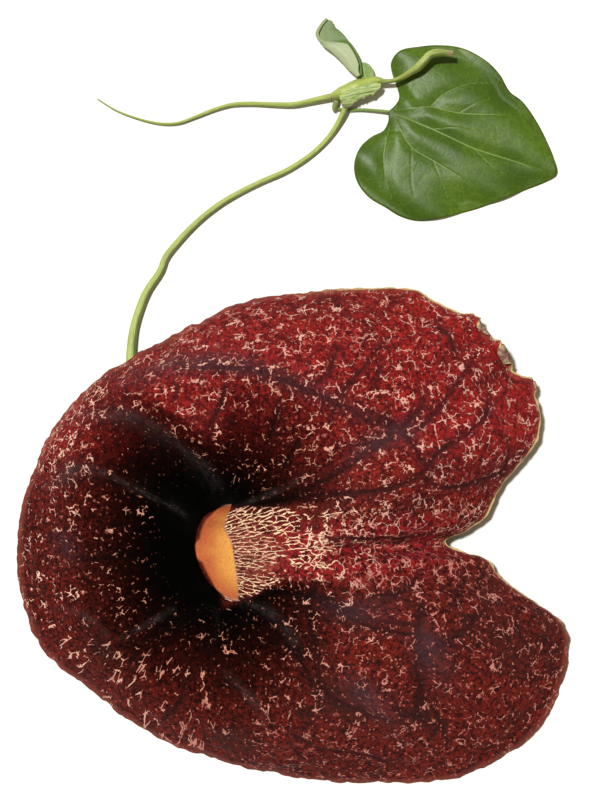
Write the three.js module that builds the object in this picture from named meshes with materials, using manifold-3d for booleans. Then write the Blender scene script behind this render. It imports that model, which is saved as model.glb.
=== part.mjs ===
// Giant Dutchman's pipe: one cut flower, laid face up on a table with its stalk, a length of vine,
// a heart-shaped leaf and the young shoot beside it. Millimetres, +Z up, the table at z = 0.
// The flower is a single fused perianth: a broad notched limb, a throat, a tube bent back under
// the limb and an inflated sac that the whole flower rests on. Every blade is a thin curved sheet.
import * as THREE from "three";
import { mergeVertices } from "three/addons/utils/BufferGeometryUtils.js";
import Module from "manifold-3d";

const wasm = await Module();
wasm.setup();

const V = (x, y, z = 0) => new THREE.Vector3(x, y, z);
const TAU = 2 * Math.PI;
const DEGREE = Math.PI / 180;

// Driving dimensions
const LIMB_THICKNESS = 1.3;
const LEAF_THICKNESS = 0.8;
const YOUNG_THICKNESS = 0.7;
const TOUCH_GAP = 0.3; // between two pieces that grow against each other
const THROAT = V(-23.6, -44.6); // centre of the throat, seen from above
const CENTRING = V(2.2, 0.2, 0); // puts the middle of the whole piece on the Z axis

// Margin of the limb seen from above, from the bottom of the notch anticlockwise, about the throat
const LIMB_MARGIN = [
  [67, 2.7], [73.5, 6], [78.6, 9.6], [81, 14.5], [84.5, 20], [89.5, 26.5], [94.2, 33.2], [95, 40.5],
  [93.6, 45.2], [92.8, 50.6], [86.4, 53.6], [85.6, 57.8], [82.4, 62.2], [79.6, 63.6], [77.2, 67],
  [75.3, 70.4], [72, 70.6], [67.5, 71.8], [62.8, 74], [58.6, 77], [45, 78], [25, 76.5], [7.5, 74],
  [-7, 67.5], [-26, 57.5], [-37, 50.5], [-50, 36], [-58, 18.5], [-61, 0], [-60, -13], [-53, -30.5],
  [-38, -42.5], [-29, -50], [-13, -59], [7, -65.5], [31, -69.5], [51, -70], [62.5, -69.5],
  [74.5, -67], [94, -54.5], [103, -37], [102.5, -23], [92.5, -15], [83, -8], [79.5, -3], [73, -0.8],
];

// Height of the limb along a ray from the throat: it leaves the throat at `edge`, climbs to a crest
// that lies `crestAt` of the way out, and droops to the margin. Angles are in degrees.
const LIMB_RAYS = [
  { angle: 2, edge: 30.5, crestAt: 0.26, crest: 31, margin: 8 },
  { angle: 10, edge: 30, crestAt: 0.36, crest: 31.5, margin: 8.5 },
  { angle: 24, edge: 29, crestAt: 0.56, crest: 31.5, margin: 8 },
  { angle: 40, edge: 28, crestAt: 0.6, crest: 31.5, margin: 8 },
  { angle: 62, edge: 26, crestAt: 0.62, crest: 31, margin: 8 },
  { angle: 90, edge: 23, crestAt: 0.68, crest: 29.5, margin: 7 },
  { angle: 115, edge: 19, crestAt: 0.72, crest: 27.5, margin: 6 },
  { angle: 140, edge: 16, crestAt: 0.72, crest: 24, margin: 4 },
  { angle: 160, edge: 14.5, crestAt: 0.6, crest: 22, margin: 2.5 },
  { angle: 180, edge: 14, crestAt: 0.52, crest: 21.5, margin: 1 },
  { angle: 202, edge: 14.5, crestAt: 0.55, crest: 21, margin: 2 },
  { angle: 228, edge: 17, crestAt: 0.66, crest: 20, margin: 3 },
  { angle: 252, edge: 20, crestAt: 0.66, crest: 21.5, margin: 3 },
  { angle: 280, edge: 24, crestAt: 0.6, crest: 24.5, margin: 1.5 },
  { angle: 305, edge: 27, crestAt: 0.5, crest: 27.5, margin: 1 },
  { angle: 330, edge: 29, crestAt: 0.45, crest: 29.5, margin: 2 },
  { angle: 348, edge: 30, crestAt: 0.38, crest: 30.5, margin: 4.5 },
  { angle: 356, edge: 30.5, crestAt: 0.3, crest: 31, margin: 7 },
];

// Folds and main veins of the limb about the throat, from their start to their end. Ridges rise,
// furrows have a negative rise. Rise and width each change evenly from the first value to the second.
const LIMB_FOLDS = [
  // ridge that arches over the upper pocket
  { rise: [3, 4], width: [3, 4], path: [[4, 15], [0, 25], [-10, 33.5], [-22, 38.5], [-33, 40], [-45, 35]] },
  // upper and lower edge of the tongue left of the throat, and the furrow between them
  { rise: [4, 4], width: [3, 4], path: [[-6, 5], [-10, 10.5], [-18, 16], [-27, 21], [-37, 25], [-49, 19]] },
  {
    rise: [4, 4],
    width: [3, 4],
    path: [[-7, -11], [-15, -18], [-22, -23], [-29, -25], [-37, -20], [-47, -16]],
  },
  { rise: [-2.5, -1.5], width: [3, 4], path: [[-8, -0.5], [-24, -1.5], [-46, -1.5]] },
  // dark pockets above and below the tongue
  { rise: [-7, -8], width: [5, 8], path: [[-2, 14], [-9, 20], [-18, 26], [-27, 31]] },
  { rise: [-7, -6], width: [5, 8], path: [[0, -17], [-7, -23], [-16, -30], [-26, -34]] },
  // ridges of the lower half
  { rise: [3, 2], width: [3, 3], path: [[6, -15], [13, -16.5], [19.5, -21], [24, -27], [27, -35]] },
  { rise: [2.4, 2.4], width: [3, 3], path: [[0, -32], [7.5, -38.5], [12.5, -45], [16.5, -51]] },
  { rise: [-2, -2], width: [3, 3], path: [[-16, -44], [-7, -40.5], [2, -40], [8, -47]] },
  // veins sunk into the upper half
  {
    rise: [-2.2, -1.8],
    width: [2.8, 2.8],
    path: [[7, 13.5], [15, 16.5], [24, 21], [34, 26], [45, 33], [56, 42]],
  },
  { rise: [-1.6, -1.2], width: [2.8, 2.8], path: [[9, 11], [24, 13.5], [42, 17], [60, 21.5], [76, 25]] },
  { rise: [-1.4, -1.4], width: [2.8, 2.8], path: [[10, 20], [16, 32], [22, 46], [22, 60]] },
  // wrinkles of the lower right lobe
  { rise: [-2.4, -2], width: [2.8, 2.8], path: [[62, -7], [56, -11], [49, -16], [38, -18.5], [26, -17]] },
  { rise: [-2, -2], width: [2.8, 2.8], path: [[46, -21], [58, -28], [60, -38], [65, -47], [67, -60]] },
  { rise: [1.8, 1.8], width: [3.4, 3.4], path: [[62, -12], [76, -17], [88, -26], [92, -40]] },
  { rise: [1.6, 1.6], width: [3.4, 3.4], path: [[34, -30], [48, -42], [54, -58]] },
];

// Rim of the throat: a D seen from above, its straight side a rolled lip on the right
const RIM = { lip: 4.1, left: -6.8, half: 13.4, lipHeight: 26.3, floorHeight: 13, lean: 1.8 };

// Fine relief of the limb: a low ripple, the flutter of the margin and a raised corner of the upper lobe
const RIPPLE_HEIGHT = 0.5;
const FLUTTER_HEIGHT = 0.9;
const RAISED_CORNER = { x: 81, y: 61, height: 2.6, spread: 5 };

// Middle line of the tube and the sac about the throat, each with the radius inside the wall there
const TUBE_STATIONS = [
  { at: V(11.5, 0, 14.6), radius: 9.2 },
  { at: V(20, 0, 11.6), radius: 8.2 },
  { at: V(31, 1, 10), radius: 7.2 },
  { at: V(44, 5, 9.5), radius: 6.6 },
  { at: V(52.5, 14, 9.6), radius: 6.5 },
  { at: V(53, 25, 10.2), radius: 7 },
  { at: V(46, 34, 11.4), radius: 8.6 },
  { at: V(34, 39.5, 12.4), radius: 11 },
  { at: V(18, 43, 12.8), radius: 12.4 },
  { at: V(2, 45.5, 12.7), radius: 11.6 },
  { at: V(-9, 47.5, 11.8), radius: 8.4 },
  { at: V(-14, 48.6, 11), radius: 3.4 },
];
const TUBE_START = { direction: V(0.86, 0, -0.51), sideways: V(0, 1, 0) };

// The green parts, seen from above: routes of the stems with their heights, and outlines of the blades
const NODE_LINE = [[9, 90.6, 2.7], [12.5, 91.6, 3.1], [17, 93.4, 3.4], [22, 95.2, 3.6], [25, 95.2, 3.8]];
const NODE_RADII = [1.1, 2.2, 2.4, 1.7, 1];
const VINE_RIGHT = [
  [22, 95.4, 3.7], [25, 95, 4.2], [28, 95.2, 5.2], [30.5, 96, 6.2], [32.6, 97.2, 7], [35, 98.7, 7.6],
  [37, 100.7, 8], [38.6, 102.3, 8.2], [40.8, 102.9, 8.3], [45.4, 102.8, 8.2],
];
const VINE_LEFT = [
  [-60.9, 90.3, 0.8], [-55.2, 86.8, 0.8], [-48.3, 84.2, 0.9], [-42, 82.8, 1], [-36.6, 82.9, 1.1],
  [-31.2, 84.8, 1.1], [-25.8, 86.9, 1.1], [-20.4, 88.4, 1.2], [-14.7, 88.7, 1.3], [-7.2, 88.4, 1.5],
  [-1.8, 88.4, 1.8], [3.6, 89.5, 2.2], [10, 90.9, 2.8],
];
const PEDUNCLE = [
  [14.2, 90, 3.3], [13.3, 86.6, 2.9], [11, 82, 1.8], [7.5, 77.3, 1.3], [2.1, 72.5, 1.2], [-4.5, 68.4, 1.2],
  [-11.4, 65.4, 1.3], [-17.7, 62.3, 1.3], [-24.3, 58.4, 1.4], [-30.6, 53.4, 1.4], [-36, 47.9, 1.4],
  [-40.2, 42.6, 1.4], [-41.8, 38.6, 1.5], [-45.9, 32.3, 1.5], [-48.6, 25.4, 1.5], [-49.9, 20.3, 1.5],
  [-50.6, 11.8, 1.6], [-50.2, 8.8, 2.4],
];
const OVARY = [[-50.5, 10.8, 1.8], [-49.6, 7.4, 3.6], [-46.4, 5, 7]];
const PETIOLE_FOOT = [[11.2, 90, 2.4], [10.6, 88.2, 1.7], [10.3, 86.2, 1.2]];
const PETIOLE = [[10.8, 87.2, 1.1], [14, 86.8, 0.7], [19, 86.9, 1], [26.2, 86.25, 2]];
const LEAF_JUNCTION = V(27.3, 86.1);
const LEAF_OUTLINE = [
  [26.6, 86.2], [28.5, 88.2], [29.7, 90.6], [29, 94], [27.6, 98], [27.3, 101.2], [29.7, 104.4],
  [35.4, 105.9], [41, 106.4], [48.3, 105.6], [55.8, 101.6], [60, 97.4], [63, 92.4], [66.4, 89.8],
  [69.8, 85.4], [73.4, 79], [75.8, 73], [76.9, 68.1], [75.6, 66.4], [66.3, 62.4], [54, 57.6],
  [46, 55.4], [39.6, 54], [34.8, 53.7], [29.7, 55.2], [25.8, 57.6], [20.6, 60.8], [17.2, 65.2],
  [16.2, 70.4], [18, 75.6], [21.4, 78.9], [25, 80.8], [26.4, 83.4],
];
const LEAF_VEINS = [
  {
    rise: [-1.2, -0.9],
    width: [2.4, 2],
    path: [[28, 85.8], [39.6, 81], [51.9, 75.3], [65.4, 71.1], [75, 67.8]],
  },
  { rise: [-0.8, -0.6], width: [2.2, 2], path: [[28, 86.6], [38.7, 87.6], [47.4, 85.8], [63.9, 85.2]] },
  { rise: [-0.6, -0.5], width: [2.2, 2], path: [[38.7, 87.6], [42.6, 91.2], [50.1, 94.5], [58.8, 95.1]] },
  { rise: [-0.8, -0.6], width: [2.2, 2], path: [[28, 84.6], [33.3, 75.6], [39.6, 71.7], [49.8, 65.4]] },
  { rise: [-0.7, -0.5], width: [2.2, 2], path: [[26.8, 82.4], [25, 72.6], [25.8, 65.4], [28.2, 58.5]] },
];
// The blade arches up to its middle, waves at its edge and rises to the end of its stalk
const LEAF_LIFT = { edge: 0.7, arch: 3, wave: 1.3, stalkEnd: 1.2 };
const BRACT_OUTLINE = [
  [12.4, 90], [14, 92], [16.8, 94], [19.6, 94.9], [22.4, 94.7], [24, 93.4], [23, 91.2], [20.8, 89.8],
  [18, 88.4], [15.4, 87.4], [13.2, 87.9],
];
const BRACT_LIFT = { middle: 6.6, drop: 1.8 };
const BRACT_FOLDS = [
  { rise: [-0.7, -0.7], width: [0.8, 0.8], path: [[14.5, 90.8], [18.3, 92], [22, 93.8]] },
];
const SMALL_LEAF_OUTLINE = [
  [17.2, 96.2], [17, 98.6], [17.9, 100.6], [19.3, 100.9], [20.9, 99.9], [21.8, 98], [22, 96.2], [19.6, 95],
];
const YOUNG_FOLD = [
  [17.3, 96.6], [14.6, 99], [12.3, 101.6], [9.8, 104], [6.8, 106.4], [5.1, 109.2], [6.3, 111.8], [8, 113.8],
];
const YOUNG_EDGE = [
  [18.4, 97], [18.2, 99.4], [17.8, 101.4], [16.4, 104.4], [14.6, 107], [12.6, 109.6], [10.4, 111.4],
  [9.5, 113.3],
];

// How finely the perianth is divided
const MARGIN_COLUMNS = 96;
const OUTER_ROWS = 11;
const INNER_ROWS = 8;
const LIP_ROWS = 3;
const TUBE_ROWS = 20;

const clamp01 = (x) => Math.min(1, Math.max(0, x));
const smooth = (x) => clamp01(x) ** 2 * (3 - 2 * clamp01(x));
const mix = (a, b, s) => a + (b - a) * s;
const turn = (x) => ((x % TAU) + TAU) % TAU;

// A value of LIMB_RAYS at any angle, eased between its neighbours
function rayValue(key, angle) {
  const degrees = turn(angle) / DEGREE;
  const count = LIMB_RAYS.length;
  let next = LIMB_RAYS.findIndex((ray) => ray.angle > degrees);
  if (next < 0) next = count;
  const a = LIMB_RAYS[(next + count - 1) % count];
  const b = LIMB_RAYS[next % count];
  const span = turn((b.angle - a.angle) * DEGREE) / DEGREE;
  const along = turn((degrees - a.angle) * DEGREE) / DEGREE;
  return mix(a[key], b[key], smooth(along / span));
}

// The radius of a closed outline about the origin, at any angle
function polarOutline(points) {
  const found = points.map((p) => ({ angle: turn(Math.atan2(p.y, p.x)), radius: Math.hypot(p.x, p.y) }));
  found.sort((a, b) => a.angle - b.angle);
  return (angle) => {
    const at = turn(angle);
    let next = found.findIndex((p) => p.angle > at);
    if (next < 0) next = found.length;
    const a = found[(next + found.length - 1) % found.length];
    const b = found[next % found.length];
    const span = turn(b.angle - a.angle) || TAU;
    return mix(a.radius, b.radius, turn(at - a.angle) / span);
  };
}

// Relief of a list of folds at a point: each is a soft ridge along its path that fades at both ends
function foldRelief(folds, x, y) {
  let total = 0;
  for (const { rise, width, path } of folds) {
    let nearest = Infinity;
    let along = 0;
    const steps = path.length - 1;
    for (let i = 0; i < steps; i += 1) {
      const [ax, ay] = path[i];
      const [bx, by] = path[i + 1];
      const lengthSquared = (bx - ax) ** 2 + (by - ay) ** 2;
      const s = clamp01(((x - ax) * (bx - ax) + (y - ay) * (by - ay)) / lengthSquared);
      const distance = Math.hypot(x - mix(ax, bx, s), y - mix(ay, by, s));
      if (distance < nearest) {
        nearest = distance;
        along = (i + s) / steps;
      }
    }
    const fade = smooth(along / 0.25 + 0.35) * smooth((1 - along) / 0.35);
    total += mix(...rise, along) * fade * Math.exp(-((nearest / mix(...width, along)) ** 2));
  }
  return total;
}

const marginCurve = new THREE.CatmullRomCurve3(LIMB_MARGIN.map(([x, y]) => V(x, y)), true, "centripetal");
const marginRadius = polarOutline(marginCurve.getPoints(800));

// A point of the throat's rim; angle 0 is the middle of the lip, which leans a little to one side
function rimPoint(angle) {
  const c = Math.cos(angle);
  const s = Math.sin(angle);
  const x = RIM.lip + (c < 0 ? (RIM.lip - RIM.left) * c : 0.6 * c) - RIM.lean * s;
  const z = mix(RIM.floorHeight, RIM.lipHeight, 0.5 + 0.5 * c);
  return V(x, RIM.half * s, z);
}
const rimRadius = polarOutline(Array.from({ length: 360 }, (_, i) => rimPoint(i * DEGREE)));

// Height of the limb's upper face above the table, about the throat
function limbHeight(x, y) {
  const angle = Math.atan2(y, x);
  const rim = rimRadius(angle);
  const share = clamp01((Math.hypot(x, y) - rim) / (marginRadius(angle) - rim));
  const edge = rayValue("edge", angle);
  const crest = rayValue("crest", angle);
  const margin = rayValue("margin", angle);
  const crestAt = rayValue("crestAt", angle);
  const base = share < crestAt
    ? mix(edge, crest, 1 - (1 - share / crestAt) ** 2.2)
    : mix(crest, margin, ((share - crestAt) / (1 - crestAt)) ** 1.7);
  const ripple = RIPPLE_HEIGHT * Math.sin(x * 0.21 + 1.1 * Math.sin(y * 0.13)) * Math.sin(y * 0.19 + 0.7);
  const waves = Math.sin(17 * angle + 1.5 * Math.sin(3 * angle));
  const flutter = FLUTTER_HEIGHT * waves * smooth((share - 0.8) / 0.2);
  const fromCorner = Math.hypot(x - RAISED_CORNER.x, y - RAISED_CORNER.y) / RAISED_CORNER.spread;
  const corner = RAISED_CORNER.height * Math.exp(-(fromCorner ** 2));
  const awayFromRim = smooth((Math.hypot(x, y) - rim) / 6);
  return base + (foldRelief(LIMB_FOLDS, x, y) + ripple) * awayFromRim + flutter + corner;
}

// The rings of points from the limb's margin to the end of the sac, upper and inner face
function perianthRings() {
  const dense = marginCurve.getPoints(1200);
  const cumulative = [0];
  const evenOut = 2.6; // millimetres added to each stretch of margin, so short scallops get points too
  const perStretch = 1200 / LIMB_MARGIN.length;
  for (let i = 1; i < dense.length; i += 1) {
    cumulative.push(cumulative[i - 1] + dense[i].distanceTo(dense[i - 1]) + evenOut / perStretch);
  }
  const total = cumulative.at(-1);
  const columns = Array.from({ length: MARGIN_COLUMNS }, (_, i) => {
    const wanted = (total * i) / MARGIN_COLUMNS;
    const k = Math.max(1, cumulative.findIndex((c) => c >= wanted));
    const s = (wanted - cumulative[k - 1]) / (cumulative[k] - cumulative[k - 1]);
    const margin = dense[k - 1].clone().lerp(dense[k], s);
    return { margin, angle: turn(Math.atan2(margin.y, margin.x)), even: (TAU * i) / MARGIN_COLUMNS };
  });
  for (const column of columns) {
    const drift = turn(column.angle - column.even + Math.PI) - Math.PI;
    column.rim = column.even + 0.35 * drift;
  }
  const limbPoint = (column, share) => {
    const rim = rimPoint(column.rim);
    const x = mix(rim.x, column.margin.x, share);
    const y = mix(rim.y, column.margin.y, share);
    return V(x, y, limbHeight(x, y));
  };
  const every = (n) => columns.filter((_, i) => i % n === 0);
  const rings = [];
  const innerFrom = 0.42;
  const lipFrom = 0.09;
  for (let r = 0; r < OUTER_ROWS; r += 1) {
    rings.push(columns.map((c) => limbPoint(c, mix(1, innerFrom, r / OUTER_ROWS))));
  }
  for (let r = 0; r < INNER_ROWS; r += 1) {
    rings.push(every(2).map((c) => limbPoint(c, mix(innerFrom, lipFrom, (r / INNER_ROWS) ** 0.85))));
  }
  // Over the lip and down into the tube, each quarter column follows one smooth line
  const tube = tubeRings(every(4).map((c) => c.rim));
  const profiles = every(4).map((c, i) => {
    const controls = [limbPoint(c, 0.2), limbPoint(c, lipFrom), rimPoint(c.rim), tube[0][i], tube[1][i]];
    return new THREE.CatmullRomCurve3(controls, false, "centripetal");
  });
  for (let r = 0; r < 2 * LIP_ROWS; r += 1) {
    rings.push(profiles.map((line) => line.getPoint(mix(0.25, 0.75, r / (2 * LIP_ROWS)))));
  }
  rings.push(...tube);
  return rings;
}

// Rings of the tube and the sac; each is a circle square to the middle line
function tubeRings(angles) {
  const line = new THREE.CatmullRomCurve3(TUBE_STATIONS.map((s) => s.at), false, "centripetal");
  const direction = TUBE_START.direction.clone().normalize();
  const sideways = TUBE_START.sideways.clone();
  const rings = [];
  for (let r = 0; r <= TUBE_ROWS; r += 1) {
    const share = r / TUBE_ROWS;
    const tangent = r === 0 ? direction : line.getTangent(share);
    sideways.addScaledVector(tangent, -sideways.dot(tangent)).normalize();
    const upward = V(0, 0, 0).crossVectors(sideways, tangent).negate();
    const centre = line.getPoint(share);
    const radius = stationRadius(share);
    rings.push(angles.map((a) => centre.clone()
      .addScaledVector(upward, radius * Math.cos(a))
      .addScaledVector(sideways, radius * Math.sin(a))));
  }
  return rings;
}

// Radius inside the tube's wall, eased between the stations
function stationRadius(share) {
  const at = share * (TUBE_STATIONS.length - 1);
  const i = Math.min(Math.floor(at), TUBE_STATIONS.length - 2);
  return mix(TUBE_STATIONS[i].radius, TUBE_STATIONS[i + 1].radius, smooth(at - i));
}

// Triangles between consecutive rings, each square split along its shorter diagonal. A ring may have
// half the points of the one before it. The last ring closes on one point that follows all the others.
function ringTriangles(rings) {
  const starts = [];
  let count = 0;
  for (const ring of rings) {
    starts.push(count);
    count += ring.length;
  }
  const triangles = [];
  for (let r = 0; r + 1 < rings.length; r += 1) {
    const n = rings[r + 1].length;
    const outer = (c) => starts[r] + (c % rings[r].length);
    const inner = (c) => starts[r + 1] + (c % n);
    for (let c = 0; c < n; c += 1) {
      if (rings[r].length === n) {
        const [a, b] = [rings[r][c], rings[r][(c + 1) % n]];
        const [d, e] = [rings[r + 1][c], rings[r + 1][(c + 1) % n]];
        if (a.distanceTo(e) < b.distanceTo(d)) {
          triangles.push([outer(c), outer(c + 1), inner(c + 1)], [outer(c), inner(c + 1), inner(c)]);
        } else {
          triangles.push([outer(c), outer(c + 1), inner(c)], [outer(c + 1), inner(c + 1), inner(c)]);
        }
      } else {
        triangles.push([outer(2 * c), outer(2 * c + 1), inner(c)]);
        triangles.push([outer(2 * c + 1), inner(c + 1), inner(c)]);
        triangles.push([outer(2 * c + 1), outer(2 * c + 2), inner(c + 1)]);
      }
    }
  }
  const last = rings.length - 1;
  for (let c = 0; c < rings[last].length; c += 1) {
    triangles.push([starts[last] + c, starts[last] + ((c + 1) % rings[last].length), count]);
  }
  return triangles;
}

// A closed solid from an open sheet: the sheet, its copy a thickness below, and a strip round its border.
// No point goes below the table, so the sheet lies flat where it touches it.
function thickSheet(points, triangles, border, thickness) {
  const normals = points.map(() => V(0, 0, 0));
  for (const [a, b, c] of triangles) {
    const face = V(0, 0, 0).crossVectors(
      points[b].clone().sub(points[a]),
      points[c].clone().sub(points[a]),
    );
    for (const i of [a, b, c]) normals[i].add(face);
  }
  const below = points.map((p, i) => p.clone().addScaledVector(normals[i].normalize(), -thickness));
  below.forEach((p, i) => {
    if (p.z < 0) p.z = 0;
    if (points[i].z < thickness) points[i].z = thickness;
  });
  const count = points.length;
  const faces = [...triangles, ...triangles.map(([a, b, c]) => [count + a, count + c, count + b])];
  for (let i = 0; i < border.length; i += 1) {
    const a = border[i];
    const b = border[(i + 1) % border.length];
    faces.push([a, count + a, count + b], [a, count + b, b]);
  }
  return geometryOf([...points, ...below], faces);
}

function geometryOf(points, faces) {
  const geometry = new THREE.BufferGeometry();
  const position = new Float32Array(points.flatMap((p) => [p.x, p.y, p.z]));
  geometry.setAttribute("position", new THREE.BufferAttribute(position, 3));
  geometry.setIndex(faces.flat());
  return geometry;
}

function perianthGeometry() {
  const rings = perianthRings();
  const points = rings.flat().map((p) => p.clone().add(THROAT));
  const end = TUBE_STATIONS.at(-1).at.clone().add(THROAT);
  points.push(end);
  const border = rings[0].map((_, i) => i);
  return thickSheet(points, ringTriangles(rings), border, LIMB_THICKNESS);
}

// The solid as a body that can be cut, and back
function toSolid(geometry) {
  const bare = geometry.clone();
  bare.deleteAttribute("normal");
  bare.deleteAttribute("uv");
  const merged = mergeVertices(bare, 1e-5);
  return new wasm.Manifold(new wasm.Mesh({
    numProp: 3,
    vertProperties: new Float32Array(merged.attributes.position.array),
    triVerts: new Uint32Array(merged.index.array),
  }));
}

function fromSolid(solid) {
  const { vertProperties, triVerts } = solid.getMesh();
  const geometry = new THREE.BufferGeometry();
  geometry.setAttribute("position", new THREE.BufferAttribute(new Float32Array(vertProperties), 3));
  geometry.setIndex([...triVerts]);
  return geometry;
}

const joined = (...parts) => fromSolid(parts.map(toSolid).reduce((a, b) => a.add(b)));
const cutAway = (body, ...tools) => (
  fromSolid(tools.map(toSolid).reduce((a, b) => a.subtract(b), toSolid(body)))
);

// A round stem along `line`, with its ends rounded off or flat. `radii` are spread evenly along it, and
// `lobes` of the given depth share of the radius run along it.
function stem({ line, radii, sides = 8, steps, extra = 0, lobes = 0, depth = 0, flat = false }) {
  const curve = new THREE.CatmullRomCurve3(line.map(([x, y, z]) => V(x, y, z)), false, "centripetal");
  const sideways = V(0.3, 0.2, 1);
  const rings = [];
  const cap = flat ? [1] : [0.55, 0.9, 1];
  for (let i = 0; i <= steps; i += 1) {
    const share = i / steps;
    const tangent = curve.getTangentAt(share);
    sideways.addScaledVector(tangent, -sideways.dot(tangent)).normalize();
    const upward = V(0, 0, 0).crossVectors(tangent, sideways);
    const at = share * (radii.length - 1);
    const k = Math.min(Math.floor(at), radii.length - 2);
    const fromEnd = Math.min(i, steps - i);
    const round = fromEnd < cap.length ? cap[fromEnd] : 1;
    const radius = mix(radii[k], radii[k + 1], smooth(at - k)) * round + extra;
    const centre = curve.getPointAt(share);
    rings.push(Array.from({ length: sides }, (_, n) => {
      const a = (TAU * n) / sides;
      const r = radius * (1 + depth * Math.cos(lobes * a));
      return centre.clone()
        .addScaledVector(sideways, r * Math.cos(a))
        .addScaledVector(upward, r * Math.sin(a));
    }));
  }
  const points = rings.flat();
  const faces = ringTriangles(rings);
  points.push(curve.getPointAt(1).addScaledVector(curve.getTangentAt(1), extra));
  const start = points.length;
  points.push(curve.getPointAt(0).addScaledVector(curve.getTangentAt(0), -extra));
  for (let n = 0; n < sides; n += 1) faces.push([start, (n + 1) % sides, n]);
  for (const p of points) p.z = Math.max(p.z, 0);
  return geometryOf(points, faces);
}

// A leafy blade: rings from its outline to its centre, at the heights that `height` gives for a point
// and its share of the way out, closed to a thin solid
function blade({ outline, centre, columns, rows, height, thickness }) {
  const curve = new THREE.CatmullRomCurve3(outline.map(([x, y]) => V(x, y)), true, "centripetal");
  const margin = curve.getSpacedPoints(columns).slice(0, columns);
  if (THREE.ShapeUtils.isClockWise(margin)) margin.reverse();
  const middle = V(...centre);
  const at = (p, share) => {
    const point = middle.clone().lerp(p, share);
    point.z = height(point.x, point.y, share);
    return point;
  };
  const rings = Array.from({ length: rows }, (_, r) => margin.map((p) => at(p, 1 - r / rows)));
  const points = rings.flat();
  points.push(at(middle, 0));
  const border = Array.from({ length: columns }, (_, i) => i);
  return thickSheet(points, ringTriangles(rings), border, thickness);
}

function leafBladeGeometry() {
  const height = (x, y, share) => {
    const arch = LEAF_LIFT.arch * (1 - share ** 3);
    const wave = LEAF_LIFT.wave * Math.sin(0.23 * x + 0.31 * y) * share ** 3;
    const fromStalk = Math.hypot(x - LEAF_JUNCTION.x, y - LEAF_JUNCTION.y) / 8;
    const stalkEnd = LEAF_LIFT.stalkEnd * Math.exp(-(fromStalk ** 2));
    return LEAF_LIFT.edge + arch + foldRelief(LEAF_VEINS, x, y) + wave + stalkEnd;
  };
  return blade({
    outline: LEAF_OUTLINE, centre: [43, 80], columns: 48, rows: 8, height, thickness: LEAF_THICKNESS,
  });
}

// The node: a swelling of the vine that carries everything else
const nodeSwelling = (extra = 0) => stem({ line: NODE_LINE, radii: NODE_RADII, sides: 12, steps: 9, extra });
const rightVine = (extra = 0) => stem({
  line: VINE_RIGHT, radii: [1.1, 0.7, 1, 1.35, 1.3, 0.9], steps: 20, extra, flat: extra === 0,
});
const leftShoot = (extra = 0) => stem({
  line: VINE_LEFT, radii: [0.2, 0.35, 0.5, 0.7, 0.8, 0.9, 1], sides: 6, steps: 26, extra,
});

function nodeBractGeometry() {
  const height = (x, y, share) => (
    BRACT_LIFT.middle - BRACT_LIFT.drop * share ** 2 + foldRelief(BRACT_FOLDS, x, y)
  );
  const whole = blade({
    outline: BRACT_OUTLINE, centre: [17.5, 91.8], columns: 20, rows: 3, height, thickness: YOUNG_THICKNESS,
  });
  return cutAway(whole, nodeSwelling(TOUCH_GAP), rightVine(TOUCH_GAP));
}

function smallLeafGeometry() {
  const height = (x) => 1.9 + 0.45 * (x - 17.2);
  const whole = blade({
    outline: SMALL_LEAF_OUTLINE,
    centre: [19.7, 98.6],
    columns: 18,
    rows: 3,
    height,
    thickness: YOUNG_THICKNESS,
  });
  return cutAway(whole, nodeSwelling(TOUCH_GAP), rightVine(TOUCH_GAP));
}

// The young leaf is folded along its midrib, the left side. Its near half is turned over the far half
// and ends below the middle; the far half goes on to the tip.
function youngLeafGeometry() {
  const left = new THREE.CatmullRomCurve3(YOUNG_FOLD.map(([x, y]) => V(x, y)));
  const right = new THREE.CatmullRomCurve3(YOUNG_EDGE.map(([x, y]) => V(x, y)));
  const rows = 14;
  const across = 6;
  const points = [];
  for (let r = 0; r <= rows; r += 1) {
    const v = r / rows;
    const fold = left.getPoint(v);
    const edge = right.getPoint(v);
    const reach = mix(0.96, 0.2, smooth((v - 0.5) / 0.14));
    const open = Math.min(1.9, 0.3 * fold.distanceTo(edge));
    for (let k = -across; k <= across; k += 1) {
      const s = Math.abs(k) / across;
      const near = k < 0;
      const p = fold.clone().lerp(edge, near ? s * reach : s);
      const bulge = open * Math.sqrt(Math.min(1, 2.5 * s)) * (near ? 1 - 0.25 * s : -1 + 0.9 * s ** 3);
      p.z = mix(4.3, 3.1, v) + bulge;
      points.push(p);
    }
  }
  const width = 2 * across + 1;
  const triangles = [];
  for (let r = 0; r < rows; r += 1) {
    for (let k = 0; k + 1 < width; k += 1) {
      const a = r * width + k;
      triangles.push([a, a + 1, a + width], [a + 1, a + width + 1, a + width]);
    }
  }
  const border = [];
  for (let k = 0; k < width; k += 1) border.push(k);
  for (let r = 1; r <= rows; r += 1) border.push(r * width + width - 1);
  for (let k = width - 2; k >= 0; k -= 1) border.push(rows * width + k);
  for (let r = rows - 1; r > 0; r -= 1) border.push(r * width);
  const whole = thickSheet(points, triangles, border, YOUNG_THICKNESS);
  return cutAway(whole, nodeSwelling(TOUCH_GAP));
}

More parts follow.
